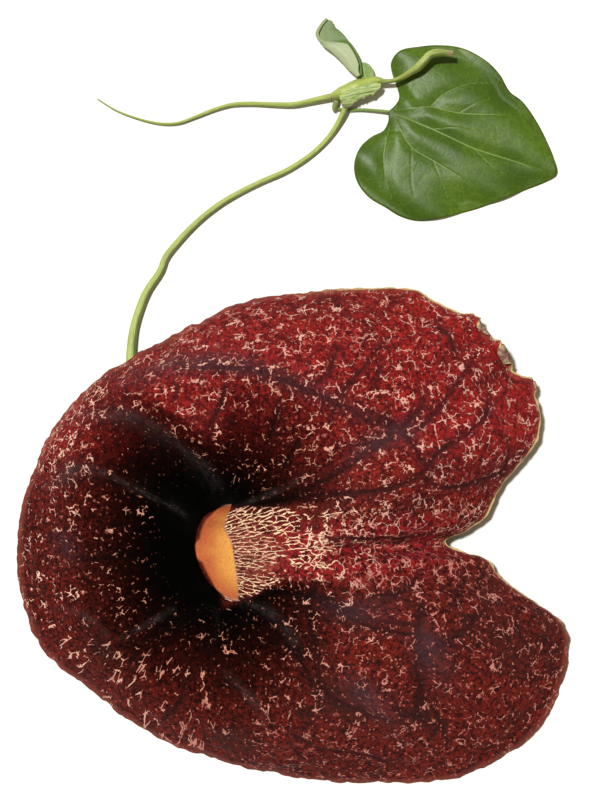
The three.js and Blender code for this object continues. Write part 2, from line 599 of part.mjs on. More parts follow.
// Flower stalk with the six-ribbed ovary that ends at the foot of the sac
function peduncleGeometry() {
  const foot = TUBE_STATIONS.at(-1).at.clone().add(THROAT);
  const before = TUBE_STATIONS.at(-2).at.clone().add(THROAT);
  const outward = foot.clone().sub(before).normalize();
  const seat = foot.clone().addScaledVector(outward, LIMB_THICKNESS + TOUCH_GAP);
  const inner = seat.clone().addScaledVector(outward, 4);
  const stalk = stem({ line: PEDUNCLE, radii: [1, 1, 1.1, 1.2, 1.35, 1.45, 1.6], steps: 38 });
  const ovary = stem({
    line: [...OVARY, inner.toArray(), seat.toArray()],
    radii: [1.5, 2, 2.5, 2.7, 2.7], sides: 24, steps: 10, lobes: 6, depth: 0.1, flat: true,
  });
  return cutAway(joined(stalk, ovary), nodeSwelling(TOUCH_GAP));
}

function petioleGeometry() {
  const stalk = stem({ line: PETIOLE, radii: [0.5, 0.5, 0.5, 0.5], steps: 12 });
  const foot = stem({ line: PETIOLE_FOOT, radii: [1, 1.2, 0.8], steps: 7 });
  return cutAway(joined(foot, stalk), nodeSwelling(TOUCH_GAP));
}

// Six-lobed column at the foot of the sac, 0.3 mm clear of its inner wall
function gynostemiumGeometry() {
  const foot = TUBE_STATIONS.at(-1).at.clone().add(THROAT);
  const inward = TUBE_STATIONS.at(-3).at.clone().add(THROAT).sub(foot).normalize();
  const along = (d) => foot.clone().addScaledVector(inward, d).toArray();
  return stem({
    line: [along(TOUCH_GAP), along(3), along(6), along(9)],
    radii: [1.6, 2.4, 3.4, 3.6, 2.6], sides: 24, steps: 8, lobes: 6, depth: 0.16,
  });
}

const material = (color, roughness) => new THREE.MeshStandardMaterial({ color, roughness, metalness: 0 });

function piece(name, geometry, look) {
  geometry.computeVertexNormals();
  const mesh = new THREE.Mesh(geometry, look);
  mesh.name = name;
  return mesh;
}

const velvet = material(0x5e1418, 0.85);
const greenStem = material(0x94a94b, 0.55);
const leafGreen = material(0x4d7a26, 0.4);
const youngGreen = material(0x8fa066, 0.6);
const paleScale = material(0xa9b57a, 0.6);
const creamColumn = material(0xd9cf9a, 0.6);

const plant = new THREE.Group();
plant.add(piece("perianth", perianthGeometry(), velvet));
plant.add(piece("gynostemium", gynostemiumGeometry(), creamColumn));
plant.add(piece("peduncle", peduncleGeometry(), greenStem));
plant.add(piece("vine_stem", joined(nodeSwelling(), rightVine(), leftShoot()), greenStem));
plant.add(piece("leaf_petiole", petioleGeometry(), greenStem));
plant.add(piece("leaf_blade", leafBladeGeometry(), leafGreen));
plant.add(piece("node_bract", nodeBractGeometry(), paleScale));
plant.add(piece("young_leaf", youngLeafGeometry(), youngGreen));
plant.add(piece("small_leaf", smallLeafGeometry(), youngGreen));
plant.position.copy(CENTRING);

export default plant;
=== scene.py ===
import math

import bpy
import numpy as np
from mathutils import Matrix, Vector, noise


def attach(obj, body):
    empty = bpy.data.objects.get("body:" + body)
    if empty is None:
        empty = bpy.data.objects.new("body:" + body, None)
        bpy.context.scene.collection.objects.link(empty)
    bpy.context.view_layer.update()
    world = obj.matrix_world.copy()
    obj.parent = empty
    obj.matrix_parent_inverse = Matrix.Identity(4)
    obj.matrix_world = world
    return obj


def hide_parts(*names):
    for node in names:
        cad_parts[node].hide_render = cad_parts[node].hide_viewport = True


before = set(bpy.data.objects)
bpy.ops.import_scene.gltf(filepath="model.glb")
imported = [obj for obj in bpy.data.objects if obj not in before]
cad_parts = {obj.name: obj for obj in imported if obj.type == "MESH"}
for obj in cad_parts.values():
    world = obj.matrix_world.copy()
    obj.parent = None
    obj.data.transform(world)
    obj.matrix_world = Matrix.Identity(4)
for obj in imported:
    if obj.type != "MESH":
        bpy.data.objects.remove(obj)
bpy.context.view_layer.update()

# Giant Dutchman's pipe flower with its stalk, vine piece and leaves. The shapes are worked out in
# millimetres in the flower's own frame, the limb about the centre of its throat, then put in metres
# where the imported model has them. In the materials a texture's scale counts cells per metre, or per
# unit of the mesh vector that it follows, and colours are screen values from 0 to 255.
MM = 0.001
TAU = 2 * math.pi
THROAT = np.array([-23.6, -44.6, 0.0])  # centre of the throat, seen from above
CENTRING = np.array([2.2, 0.2, 0.0])  # middle of the whole piece, on the frame's Z axis
LIMB_THICKNESS = 1.3  # round the throat, in the tube and in the sac
OUTER_THICKNESS = 0.75  # further out, where a thicker limb would cross itself in the folds
LEAF_THICKNESS = 0.8
YOUNG_THICKNESS = 0.7  # young leaves and the bract, at the middle
MARGIN_THICKNESS = 0.35  # of the limb and the big leaf
TOUCH_GAP = 0.3  # between two pieces that grow against each other

# Margin of the limb seen from above, from the bottom of the notch anticlockwise, about the throat
LIMB_MARGIN = [
    (67, 2.7), (73.5, 6), (78.6, 9.6), (81, 14.5), (84.5, 20), (89.5, 26.5), (94.2, 33.2), (95, 40.5),
    (93.6, 45.2), (92.8, 50.6), (86.4, 53.6), (85.6, 57.8), (82.4, 62.2), (79.6, 63.6), (77.2, 67),
    (75.3, 70.4), (72, 70.6), (67.5, 71.8), (62.8, 74), (58.6, 77), (45, 78), (25, 76.5), (7.5, 74),
    (-7, 67.5), (-26, 57.5), (-37, 50.5), (-50, 36), (-58, 18.5), (-61, 0), (-60, -13), (-53, -30.5),
    (-38, -42.5), (-29, -50), (-13, -59), (7, -65.5), (31, -69.5), (51, -70), (62.5, -69.5),
    (74.5, -67), (94, -54.5), (103, -37), (102.5, -23), (92.5, -15), (83, -8), (79.5, -3), (73, -0.8),
]

# Height of the limb along rays from the throat: angle, height where the ray leaves the throat,
# share of the way out where the crest lies, height of the crest, height of the margin
LIMB_RAYS = np.array([
    (2, 30.5, 0.26, 31, 8), (10, 30, 0.36, 31.5, 8.5), (24, 29, 0.56, 31.5, 8), (40, 28, 0.6, 31.5, 8),
    (62, 26, 0.62, 31, 8), (90, 23, 0.68, 29.5, 7), (115, 19, 0.72, 27.5, 6), (140, 16, 0.72, 24, 4),
    (160, 14.5, 0.6, 22, 2.5), (180, 14, 0.52, 21.5, 1), (202, 14.5, 0.55, 21, 2), (228, 17, 0.66, 20, 3),
    (252, 20, 0.66, 21.5, 3), (280, 24, 0.6, 24.5, 1.5), (305, 27, 0.5, 27.5, 1), (330, 29, 0.45, 29.5, 2),
    (348, 30, 0.38, 30.5, 4.5), (356, 30.5, 0.3, 31, 7),
])

# Folds of the limb about the throat: rise and width at the start and end of each path. Furrows have
# a negative rise.
LIMB_FOLDS = [
    ((3, 4), (3, 4), [(4, 15), (0, 25), (-10, 33.5), (-22, 38.5), (-33, 40), (-45, 35)]),
    ((4, 4), (3, 4), [(-6, 5), (-10, 10.5), (-18, 16), (-27, 21), (-37, 25), (-49, 19)]),
    ((4, 4), (3, 4), [(-7, -11), (-15, -18), (-22, -23), (-29, -25), (-37, -20), (-47, -16)]),
    ((-2.5, -1.5), (3, 4), [(-8, -0.5), (-24, -1.5), (-46, -1.5)]),
    ((-7, -8), (5, 8), [(-2, 14), (-9, 20), (-18, 26), (-27, 31)]),
    ((-7, -6), (5, 8), [(0, -17), (-7, -23), (-16, -30), (-26, -34)]),
    ((3, 2), (3, 3), [(6, -15), (13, -16.5), (19.5, -21), (24, -27), (27, -35)]),
    ((2.4, 2.4), (3, 3), [(0, -32), (7.5, -38.5), (12.5, -45), (16.5, -51)]),
    ((-2, -2), (3, 3), [(-16, -44), (-7, -40.5), (2, -40), (8, -47)]),
    ((-2.2, -1.8), (2.8, 2.8), [(7, 13.5), (15, 16.5), (24, 21), (34, 26), (45, 33), (56, 42)]),
    ((-1.6, -1.2), (2.8, 2.8), [(9, 11), (24, 13.5), (42, 17), (60, 21.5), (76, 25)]),
    ((-1.4, -1.4), (2.8, 2.8), [(10, 20), (16, 32), (22, 46), (22, 60)]),
    ((-2.4, -2), (2.8, 2.8), [(62, -7), (56, -11), (49, -16), (38, -18.5), (26, -17)]),
    ((-2, -2), (2.8, 2.8), [(46, -21), (58, -28), (60, -38), (65, -47), (67, -60)]),
    ((1.8, 1.8), (3.4, 3.4), [(62, -12), (76, -17), (88, -26), (92, -40)]),
    ((1.6, 1.6), (3.4, 3.4), [(34, -30), (48, -42), (54, -58)]),
]

# Dark veins of the limb, with the width of the dark line in millimetres
LIMB_VEINS = [
    (0.99, [(6, 13.5), (17.5, 15.5), (29.5, 21), (44, 30.5), (51.5, 35.5), (56, 39.5), (59.5, 45),
            (62, 52.5)]),
    (0.68, [(42, 42), (51.5, 37), (58.5, 28), (60.5, 23.5)]),
    (0.74, [(12.5, 15), (28.5, 17), (49.5, 19), (58.5, 23), (63, 29), (69.5, 33), (77, 39), (79, 46),
            (78.5, 54.5)]),
    (0.56, [(58.5, 23), (65, 19), (74.5, 20.5), (84, 24), (85, 34)]),
    (0.5, [(63, 66.5), (67.5, 63.5), (69.5, 56.5)]),
    (0.5, [(45.5, 58.5), (46.5, 52.5), (43.5, 46)]),
    (0.5, [(34, 58.5), (31.5, 52.5), (27.5, 48.5)]),
    (0.56, [(58.5, -4), (56.5, -8.5), (52, -11.5), (45, -12.5), (42.5, -14.5)]),
    (0.43, [(72.5, -7), (68, -14), (66, -17.5)]),
    (0.68, [(9, -10.5), (19, -11), (30, -12.5), (38, -17.5), (45, -19), (56, -20.5), (60.5, -23.5)]),
    (0.74, [(79.5, -14.5), (71.5, -22.5), (65, -26), (57.5, -32), (58.5, -37), (60, -41.5), (58, -46.5)]),
    (0.5, [(64.5, -48), (66.5, -54.5), (67.5, -59)]),
    (0.5, [(87.5, -16), (88, -24), (92.5, -29.5)]),
    (0.81, [(4.5, -12), (9, -14), (15, -18), (20.5, -22.5), (23.5, -28.5), (24, -36.5)]),
    (0.5, [(-11.5, 50), (-13, 43.5)]),
    (0.6, [(2.6, 49.7), (0, 42), (-4.3, 33.5)]),
    (0.74, [(-43, -1.5), (-37, -2), (-31, -1.5), (-20.5, -0.5)]),
    (0.5, [(30, 5), (44, 4.5), (59.5, 4)]),
    (0.5, [(17.9, 45.5), (16.4, 38), (14, 31.7)]),
    (0.5, [(23.6, 33.2), (20.6, 28.4), (18.5, 24.2)]),
    (0.8, [(-9, 54.8), (8.3, 53.3), (20.3, 49.7), (35.6, 42.8), (51, 36), (63, 29.3)]),
    (0.45, [(49.4, 63.5), (42.5, 54.8), (35.6, 46.4), (30.5, 34.4)]),
    (0.5, [(76.7, 60), (69.9, 49.7), (63, 41.5), (56.3, 34.4)]),
    (0.9, [(59.6, -12.1), (57.8, -22.3), (59.6, -36.1), (57.8, -46.3), (66.5, -56.5)]),
    (0.6, [(35.6, -17.2), (49.4, -22.3), (59.6, -24), (76.7, -29)]),
    (0.6, [(25.4, -15.4), (28.7, -29.2), (30.5, -39.4), (42.5, -46.3), (57.8, -51.4)]),
    (0.55, [(14.9, -20.5), (23.6, -30.7), (30.5, -42.7)]),
    (0.45, [(-8, -33), (-12, -44), (-22, -54)]),
    (0.45, [(20, -52), (30, -58), (44, -60), (54, -66)]),
]

# Crests near the throat, grey streaks of painted sheen where hairs catch the light, with the width of
# the streak. The first two run along the ridges above and below the upper pocket.
LIMB_CRESTS = [
    (1.4, [(-38.5, 39.5), (-26, 40), (-17, 36), (-9.7, 30), (-2.2, 23.6), (1.7, 17)]),
    (0.95, [(-51, 17.6), (-45, 23), (-39.7, 25), (-33.4, 23.6), (-26, 20), (-18.4, 16), (-11, 12), (-5, 6)]),
    (1.1, [(-49.6, -16.9), (-41, -17.5), (-34.6, -21.4), (-31, -25.6)]),
    (1.0, [(-29, -25), (-18.4, -19.3), (-12, -15.7)]),
    (1.5, [(4, -12.5), (12.5, -15.5), (17.5, -18.5), (21, -23.5), (23.5, -29)]),
    (0.9, [(4, 13.5), (14, 17), (22, 21), (27, 25)]),
    (1.3, [(1.5, -34), (9, -41.5), (15, -48.5)]),
    (0.9, [(4.5, -36), (11, -43), (14, -52)]),
]

# Grey-purple bands of painted sheen, where the velvet's nap catches the light
LIMB_SHEEN_BANDS = [
    (3.4, [(-38, 47), (-23, 52), (-13, 55), (5.6, 55.1), (23.6, 49.1), (37.1, 43.1), (53.6, 37.1), (61, 32)]),
    (3.2, [(34, 26), (46, 33), (58, 38), (64, 46)]),
    (5.0, [(56, -18), (60.5, -26.5), (65, -35.5), (62, -46)]),
    (3.0, [(20, -11), (38, -16), (50, -14), (58, -8)]),
    (3.6, [(34, -34), (46, -44), (56, -56)]),
    (3.2, [(-50, 8), (-44, 0), (-46, -8)]),
    (2.8, [(-38.5, 39), (-26, 39.5), (-17, 35.5), (-9, 29)]),
    (2.6, [(-51, 17), (-45, 22.5), (-39.7, 24.5), (-33, 23), (-24, 18)]),
]

# Rim of the throat: a D seen from above, its straight side a rolled lip on the right
RIM = {"lip": 4.1, "left": -6.8, "half": 13.4, "lip_height": 26.3, "floor_height": 13, "lean": 1.8}

# Fine relief of the limb: a low ripple, the flutter of the margin, and a raised corner of the upper
# lobe, with its place, height and spread
RIPPLE_HEIGHT = 0.5
FLUTTER_HEIGHT = 0.9
RAISED_CORNER = (81, 61, 2.6, 5)

# Middle line of the tube and the sac about the throat, and the radius inside the wall at each point
TUBE_LINE = np.array([
    (11.5, 0, 14.6), (20, 0, 11.6), (31, 1, 10), (44, 5, 9.5), (52.5, 14, 9.6), (53, 25, 10.2),
    (46, 34, 11.4), (34, 39.5, 12.4), (18, 43, 12.8), (2, 45.5, 12.7), (-9, 47.5, 11.8), (-14, 48.6, 11),
])
TUBE_RADII = np.array([9.2, 8.2, 7.2, 6.6, 6.5, 7, 8.6, 11, 12.4, 11.6, 8.4, 3.4])
TUBE_START = np.array([0.86, 0, -0.51])

# Green parts, seen from above: routes of the stems with their heights, and outlines of the blades
NODE_LINE = [(9, 90.6, 2.7), (12.5, 91.6, 3.1), (17, 93.4, 3.4), (22, 95.2, 3.6), (25, 95.2, 3.8)]
VINE_RIGHT = [
    (22, 95.4, 3.7), (25, 95, 4.2), (28, 95.2, 5.2), (30.5, 96, 6.2), (32.6, 97.2, 7), (35, 98.7, 7.6),
    (37, 100.7, 8), (38.6, 102.3, 8.2), (40.8, 102.9, 8.3), (45.4, 102.8, 8.2),
]
VINE_LEFT = [
    (-60.9, 90.3, 0.8), (-55.2, 86.8, 0.8), (-48.3, 84.2, 0.9), (-42, 82.8, 1), (-36.6, 82.9, 1.1),
    (-31.2, 84.8, 1.1), (-25.8, 86.9, 1.1), (-20.4, 88.4, 1.2), (-14.7, 88.7, 1.3), (-7.2, 88.4, 1.5),
    (-1.8, 88.4, 1.8), (3.6, 89.5, 2.2), (10, 90.9, 2.8),
]
PEDUNCLE = [
    (14.2, 90, 3.3), (13.3, 86.6, 2.9), (11, 82, 1.8), (7.5, 77.3, 1.3), (2.1, 72.5, 1.2), (-4.5, 68.4, 1.2),
    (-11.4, 65.4, 1.3), (-17.7, 62.3, 1.3), (-24.3, 58.4, 1.4), (-30.6, 53.4, 1.4), (-36, 47.9, 1.4),
    (-40.2, 42.6, 1.4), (-41.8, 38.6, 1.5), (-45.9, 32.3, 1.5), (-48.6, 25.4, 1.5), (-49.9, 20.3, 1.5),
    (-50.6, 11.8, 1.6), (-50.2, 8.8, 2.4),
]
OVARY = [(-50.5, 10.8, 1.8), (-49.6, 7.4, 3.6), (-46.4, 5, 7)]
PETIOLE_FOOT = [(11.2, 90, 2.4), (10.6, 88.2, 1.7), (10.3, 86.2, 1.2)]
PETIOLE = [(10.8, 87.2, 1.1), (14, 86.8, 0.7), (19, 86.9, 1), (26.2, 86.25, 2), (28, 86, 2.2)]
LEAF_JUNCTION = (27.3, 86.1)
LEAF_OUTLINE = [
    (26.6, 86.2), (28.5, 88.2), (29.7, 90.6), (29, 94), (27.6, 98), (27.3, 101.2), (29.7, 104.4),
    (35.4, 105.9), (41, 106.4), (48.3, 105.6), (55.8, 101.6), (60, 97.4), (63, 92.4), (66.4, 89.8),
    (69.8, 85.4), (73.4, 79), (75.8, 73), (76.9, 68.1), (75.6, 66.4), (66.3, 62.4), (54, 57.6),
    (46, 55.4), (39.6, 54), (34.8, 53.7), (29.7, 55.2), (25.8, 57.6), (20.6, 60.8), (17.2, 65.2),
    (16.2, 70.4), (18, 75.6), (21.4, 78.9), (25, 80.8), (26.4, 83.4),
]
# Main veins as furrows, like LIMB_FOLDS, with the width of the pale line of each
LEAF_VEINS = [
    ((-1.2, -0.9), (2.4, 2), [(28, 85.8), (39.6, 81), (51.9, 75.3), (65.4, 71.1), (75, 67.8)]),
    ((-0.8, -0.6), (2.2, 2), [(28, 86.6), (38.7, 87.6), (47.4, 85.8), (63.9, 85.2)]),
    ((-0.6, -0.5), (2.2, 2), [(38.7, 87.6), (42.6, 91.2), (50.1, 94.5), (58.8, 95.1)]),
    ((-0.8, -0.6), (2.2, 2), [(28, 84.6), (33.3, 75.6), (39.6, 71.7), (49.8, 65.4)]),
    ((-0.7, -0.5), (2.2, 2), [(26.8, 82.4), (25, 72.6), (25.8, 65.4), (28.2, 58.5)]),
]
LEAF_VEIN_WIDTHS = (0.22, 0.15, 0.12, 0.15, 0.13)
LEAF_SIDE_VEIN_WIDTH = 0.09
LEAF_SIDE_VEINS = [
    [(28, 86.6), (31, 90), (34.8, 96)],
    [(33.3, 75.6), (33.3, 65.4), (34.2, 60.6)],
    [(39.6, 71.7), (42.6, 64.5), (44.4, 59.7)],
    [(39.6, 81), (46, 81.5), (53, 80)],
    [(51.9, 75.3), (57, 70), (63, 66.5)],
    [(47.4, 85.8), (52, 88.5), (58, 90.5)],
]
BRACT_OUTLINE = [
    (11.8, 90.6), (13.4, 92), (16, 93.4), (19, 94.3), (22, 94.7), (24.2, 94), (23.4, 92.4), (21.6, 91),
    (19, 89.8), (16.6, 88.8), (15, 87.5), (13.2, 87), (12.1, 88.8),
]
SMALL_LEAF_OUTLINE = [
    (17.2, 96.2), (17, 98.6), (17.9, 100.6), (19.3, 100.9), (20.9, 99.9), (21.8, 98), (22, 96.2), (19.6, 95),
]
# The folded young leaf: the line that it is folded along, and the edge of its upper half
YOUNG_FOLD = [
    (17.3, 96.6), (14.6, 99), (12.3, 101.6), (9.8, 104), (6.8, 106.4), (5.1, 109.2), (6.3, 111.8), (8, 113.8),
]
YOUNG_EDGE = [
    (18.4, 97), (18.2, 99.4), (17.8, 101.4), (16.4, 104.4), (14.6, 107), (12.6, 109.6), (10.4, 111.4),
    (9.5, 113.3),
]

# Stretches of the margin that roll over: direction from the throat in degrees, half the length of the
# stretch, depth of the strip that rolls, depth that it grows to, and how far it turns in degrees
MARGIN_CURLS = [(40.3, 4.2, 1.8, 5.6, 175), (34.7, 5.6, 2.2, 7.2, 185), (28, 3, 1.2, 3, 120)]

# How finely the limb is divided, and the shares of the way out where its inner rows and its lip start
LIMB_COLUMNS = 512
OUTER_ROWS = 76
INNER_ROWS = 36
LIP_ROWS = 14
TUBE_ROWS = 60
GUIDE_ROWS = 20  # rows of the coarse tube that the line of the lip is drawn on
INNER_FROM = 0.42
LIP_FROM = 0.09

# The camera looks straight down; its frame is 240 mm high at table height
CAMERA_DISTANCE = 0.75  # metres above the table
CAMERA_LENS = 112.5  # millimetres
TABLE_REACH = 8.0  # metres, from the middle of the table to each side
SUNLIGHT = Vector((0.23, -0.17, -1))  # direction that the key light shines in


def clamp01(x):
    return np.clip(x, 0.0, 1.0)


def smooth(x):
    """0 below 0, 1 above 1, and eased between them."""
    x = clamp01(x)
    return x * x * (3 - 2 * x)


def mix(a, b, s):
    return a + (b - a) * s


def unit(v):
    return v / np.linalg.norm(v)


def running(steps):
    """Running total of the steps, from 0."""
    return np.concatenate([[0], np.cumsum(steps)])


def lengths(path):
    """Length of each stretch of a path."""
    return np.linalg.norm(np.diff(np.asarray(path, float), axis=0), axis=1)


def points_at(path, run, wanted):
    """Points of a path where its running length has the wanted values."""
    return np.stack([np.interp(wanted, run, column) for column in path.T], axis=1)


def eased(values, share):
    """The value at a share of a list, eased between its evenly spaced entries."""
    at = share * (len(values) - 1)
    i = min(int(at), len(values) - 2)
    return mix(values[i], values[i + 1], smooth(at - i))


def spline(points, shares, closed=False):
    """Centripetal Catmull-Rom curve through points of shape (k, ..., d), at shares of its parameter."""
    p = np.asarray(points, float)
    count = len(p)
    if closed:
        p = np.concatenate([p[-1:], p, p[:2]])
        spans = count
    else:
        p = np.concatenate([[2 * p[0] - p[1]], p, [2 * p[-1] - p[-2]]])
        spans = count - 1
    found = []
    for share in np.atleast_1d(shares):
        at = min(max(share, 0.0), 1.0) * spans
        i = min(int(at), spans - 1)
        t = at - i
        a, b, c, d = p[i], p[i + 1], p[i + 2], p[i + 3]
        d0, d1, d2 = (np.maximum(np.linalg.norm(v - u, axis=-1, keepdims=True) ** 0.5, 1e-4)
                      for u, v in ((a, b), (b, c), (c, d)))
        m1 = ((b - a) / d0 - (c - a) / (d0 + d1) + (c - b) / d1) * d1
        m2 = ((c - b) / d1 - (d - b) / (d1 + d2) + (d - c) / d2) * d1
        found.append(b + m1 * t + (3 * (c - b) - 2 * m1 - m2) * t ** 2 + (2 * (b - c) + m1 + m2) * t ** 3)
    return np.array(found)


def even_points(points, count, closed=False):
    """Points spread evenly by length along the curve."""
    dense = spline(points, np.linspace(0, 1, 60 * len(points) + 1), closed)
    run = running(lengths(dense))
    return points_at(dense, run, np.linspace(0, run[-1], count + 1 if closed else count))[:count]


def crumple(points, scale, octaves=4, seed=0.0):
    """Smooth noise in -1 to 1 at each point."""
    shift = Vector((seed, 1.7 * seed, -seed))
    return np.array([noise.fractal(Vector(p) * scale + shift, 1.0, 2.0, octaves) for p in points])


def ray_values(angle):
    """Edge, crest place, crest and margin height at each angle, eased between the rays."""
    degrees = np.degrees(angle) % 360
    angles = LIMB_RAYS[:, 0]
    following = np.searchsorted(angles, degrees, side="right") % len(angles)
    before = (following - 1) % len(angles)
    span = (angles[following] - angles[before]) % 360
    along = smooth(((degrees - angles[before]) % 360) / span)
    return [mix(LIMB_RAYS[before, k], LIMB_RAYS[following, k], along) for k in (1, 2, 3, 4)]


def polar_outline(points):
    """Radius of a closed outline about the origin, at any angle."""
    angle = np.arctan2(points[:, 1], points[:, 0])
    radius = np.hypot(points[:, 0], points[:, 1])
    return lambda at: np.interp(at, angle, radius, period=TAU)


def nearest_on(path, x, y):
    """Distance from each point to a path, and how far along the path the nearest place is."""
    nearest = np.full(np.shape(x), np.inf)
    along = np.zeros(np.shape(x))
    steps = len(path) - 1
    for i in range(steps):
        (ax, ay), (bx, by) = path[i], path[i + 1]
        s = clamp01(((x - ax) * (bx - ax) + (y - ay) * (by - ay)) / ((bx - ax) ** 2 + (by - ay) ** 2))
        distance = np.hypot(x - mix(ax, bx, s), y - mix(ay, by, s))
        closer = distance < nearest
        nearest = np.where(closer, distance, nearest)
        along = np.where(closer, (i + s) / steps, along)
    return nearest, along


def fold_relief(folds, x, y):
    """Height that the folds add, each with a bell-shaped section and fading out at its ends."""
    total = np.zeros(np.shape(x))
    for rise, width, path in folds:
        nearest, along = nearest_on(path, x, y)
        fade = smooth(along / 0.25 + 0.35) * smooth((1 - along) / 0.35)
        total += mix(*rise, along) * fade * np.exp(-((nearest / mix(*width, along)) ** 2))
    return total


def line_mask(lines, x, y, taper=0.12):
    """1 on the lines, falling to 0 beside them, and tapering off at their ends."""
    total = np.zeros(np.shape(x))
    for width, path in lines:
        fine = [tuple(p) for p in spline(path, np.linspace(0, 1, 5 * len(path)))]
        nearest, along = nearest_on(fine, x, y)
        ends = smooth((along + 0.04) / taper) * smooth((1.02 - along) / (2 * taper))
        total = np.maximum(total, ends * np.exp(-((nearest / width) ** 2)))
    return total


def strands(lines, x, y):
    """How far along the nearest of the lines each point is, and how far beside it, in millimetres."""
    nearest = np.full(np.shape(x), np.inf)
    along = np.zeros(np.shape(x))
    for _, path in lines:
        beside, share = nearest_on(path, x, y)
        along = np.where(beside < nearest, share * lengths(path).sum(), along)
        nearest = np.minimum(nearest, beside)
    return np.stack([along, nearest, 0 * along], axis=1)


def rim_point(angle):
    """Point of the throat's rim, a D whose straight side is the lip."""
    c, s = np.cos(angle), np.sin(angle)
    x = RIM["lip"] + np.where(c < 0, (RIM["lip"] - RIM["left"]) * c, 0.6 * c) - RIM["lean"] * s
    # the upper end is drawn out to the right, and the lip dips to the left below it in an S curve
    x = x + 1.5 * smooth((s - 0.75) / 0.25)
    x = x - smooth(c / 0.3) * (0.4 + 1.6 * np.exp(-(((s - 0.55) / 0.22) ** 2)))
    z = mix(RIM["floor_height"], RIM["lip_height"], 0.5 + 0.5 * c)
    return np.stack([x, RIM["half"] * s, z], axis=-1)


MARGIN_DENSE = spline(LIMB_MARGIN, np.linspace(0, 1, 1201), closed=True)
margin_radius = polar_outline(MARGIN_DENSE[:-1])
rim_radius = polar_outline(rim_point(np.radians(np.arange(360))))


def limb_height(x, y):
    """Height of the limb's upper face, about the throat."""
    angle = np.arctan2(y, x)
    rim = rim_radius(angle)
    share = clamp01((np.hypot(x, y) - rim) / (margin_radius(angle) - rim))
    edge, crest_at, crest, margin = ray_values(angle)
    rising = mix(edge, crest, 1 - clamp01(1 - share / crest_at) ** 2.2)
    falling = mix(crest, margin, clamp01((share - crest_at) / (1 - crest_at)) ** 1.7)
    base = np.where(share < crest_at, rising, falling)
    ripple = RIPPLE_HEIGHT * np.sin(x * 0.21 + 1.1 * np.sin(y * 0.13)) * np.sin(y * 0.19 + 0.7)
    flutter = FLUTTER_HEIGHT * np.sin(17 * angle + 1.5 * np.sin(3 * angle)) * smooth((share - 0.8) / 0.2)
    corner_x, corner_y, raised_by, spread = RAISED_CORNER
    corner = raised_by * np.exp(-((np.hypot(x - corner_x, y - corner_y) / spread) ** 2))
    away = smooth((np.hypot(x, y) - rim) / 6)
    return base + (fold_relief(LIMB_FOLDS, x, y) + ripple) * away + flutter + corner


def limb_columns(count):
    """Evenly spread margin points, and the rim angle that each one runs to."""
    even_out = 2.6 * len(LIMB_MARGIN) / (len(MARGIN_DENSE) - 1)  # gives short scallops points too
    run = running(lengths(MARGIN_DENSE) + even_out)
    margin = points_at(MARGIN_DENSE, run, run[-1] * np.arange(count) / count)
    even = TAU * np.arange(count) / count
    drift = (np.arctan2(margin[:, 1], margin[:, 0]) - even + math.pi) % TAU - math.pi
    return margin, even + 0.35 * drift


def limb_ring(margin, rim, share):
    """Ring of the limb's upper face, at a share of the way from the rim to the margin."""
    x = mix(rim[:, 0], margin[:, 0], share)
    y = mix(rim[:, 1], margin[:, 1], share)
    return np.stack([x, y, limb_height(x, y)], axis=1)


def carried(sideways, direction):
    """Carry a sideways vector on to a new direction; returns it and the one square to both."""
    sideways = unit(sideways - direction * sideways.dot(direction))
    return sideways, np.cross(direction, sideways)


def tube_rings(angles, rows):
    """Rings of the tube and the sac, from the throat to the blind end."""
    direction, sideways = unit(TUBE_START), np.array([0.0, 1.0, 0.0])
    rings = []
    for share in np.arange(rows + 1) / rows:
        if share:
            ahead, behind = spline(TUBE_LINE, [min(share + 1e-4, 1), max(share - 1e-4, 0)])
            direction = unit(ahead - behind)
        sideways, upward = carried(sideways, direction)
        outward = np.outer(np.cos(angles), upward) + np.outer(np.sin(angles), sideways)
        rings.append(spline(TUBE_LINE, share)[0] + eased(TUBE_RADII, share) * outward)
    return rings


def perianth_rings():
    """Rings from the margin to the end of the sac, with fewer columns in the lip and in the tube."""
    margin, rim_angle = limb_columns(LIMB_COLUMNS)
    fray = 0.5 * crumple(np.pad(margin, ((0, 0), (0, 1))), 0.35, 3, 7.0)
    margin = margin + margin / np.linalg.norm(margin, axis=1, keepdims=True) * fray[:, None]
    rim = rim_point(rim_angle)
    shares = [mix(1, INNER_FROM, (r / OUTER_ROWS) ** 1.3) for r in range(OUTER_ROWS)]
    shares += [mix(INNER_FROM, LIP_FROM, (r / INNER_ROWS) ** 0.85) for r in range(INNER_ROWS)]
    rings = [limb_ring(margin, rim, share) for share in shares]
    half = slice(None, None, 2)
    controls = [limb_ring(margin[half], rim[half], share) for share in (0.2, LIP_FROM)]
    controls += [rim[half], *tube_rings(rim_angle[half], GUIDE_ROWS)[:2]]
    lip = spline(controls, mix(0.25, 0.75, np.arange(2 * LIP_ROWS) / (2 * LIP_ROWS)))
    return rings + list(lip) + tube_rings(rim_angle[::4], TUBE_ROWS)


def ring_faces(sizes, close=True):
    """Faces between consecutive rings, and a fan from the last ring to the point after it."""
    starts = running(sizes)
    faces = []
    for r in range(len(sizes) - 1):
        n = sizes[r + 1]
        c = np.arange(n)
        inner, inner_next = starts[r + 1] + c, starts[r + 1] + (c + 1) % n
        if sizes[r] == n:
            faces += zip(starts[r] + c, starts[r] + (c + 1) % n, inner_next, inner)
        else:
            outer, middle = starts[r] + 2 * c, starts[r] + 2 * c + 1
            outer_next = starts[r] + (2 * c + 2) % sizes[r]
            faces += zip(outer, middle, inner)
            faces += zip(middle, inner_next, inner)
            faces += zip(middle, outer_next, inner_next)
    if close:
        last = starts[-2] + np.arange(sizes[-1])
        faces += [(a, b, starts[-1]) for a, b in zip(last, np.roll(last, -1))]
    return [tuple(map(int, face)) for face in faces]


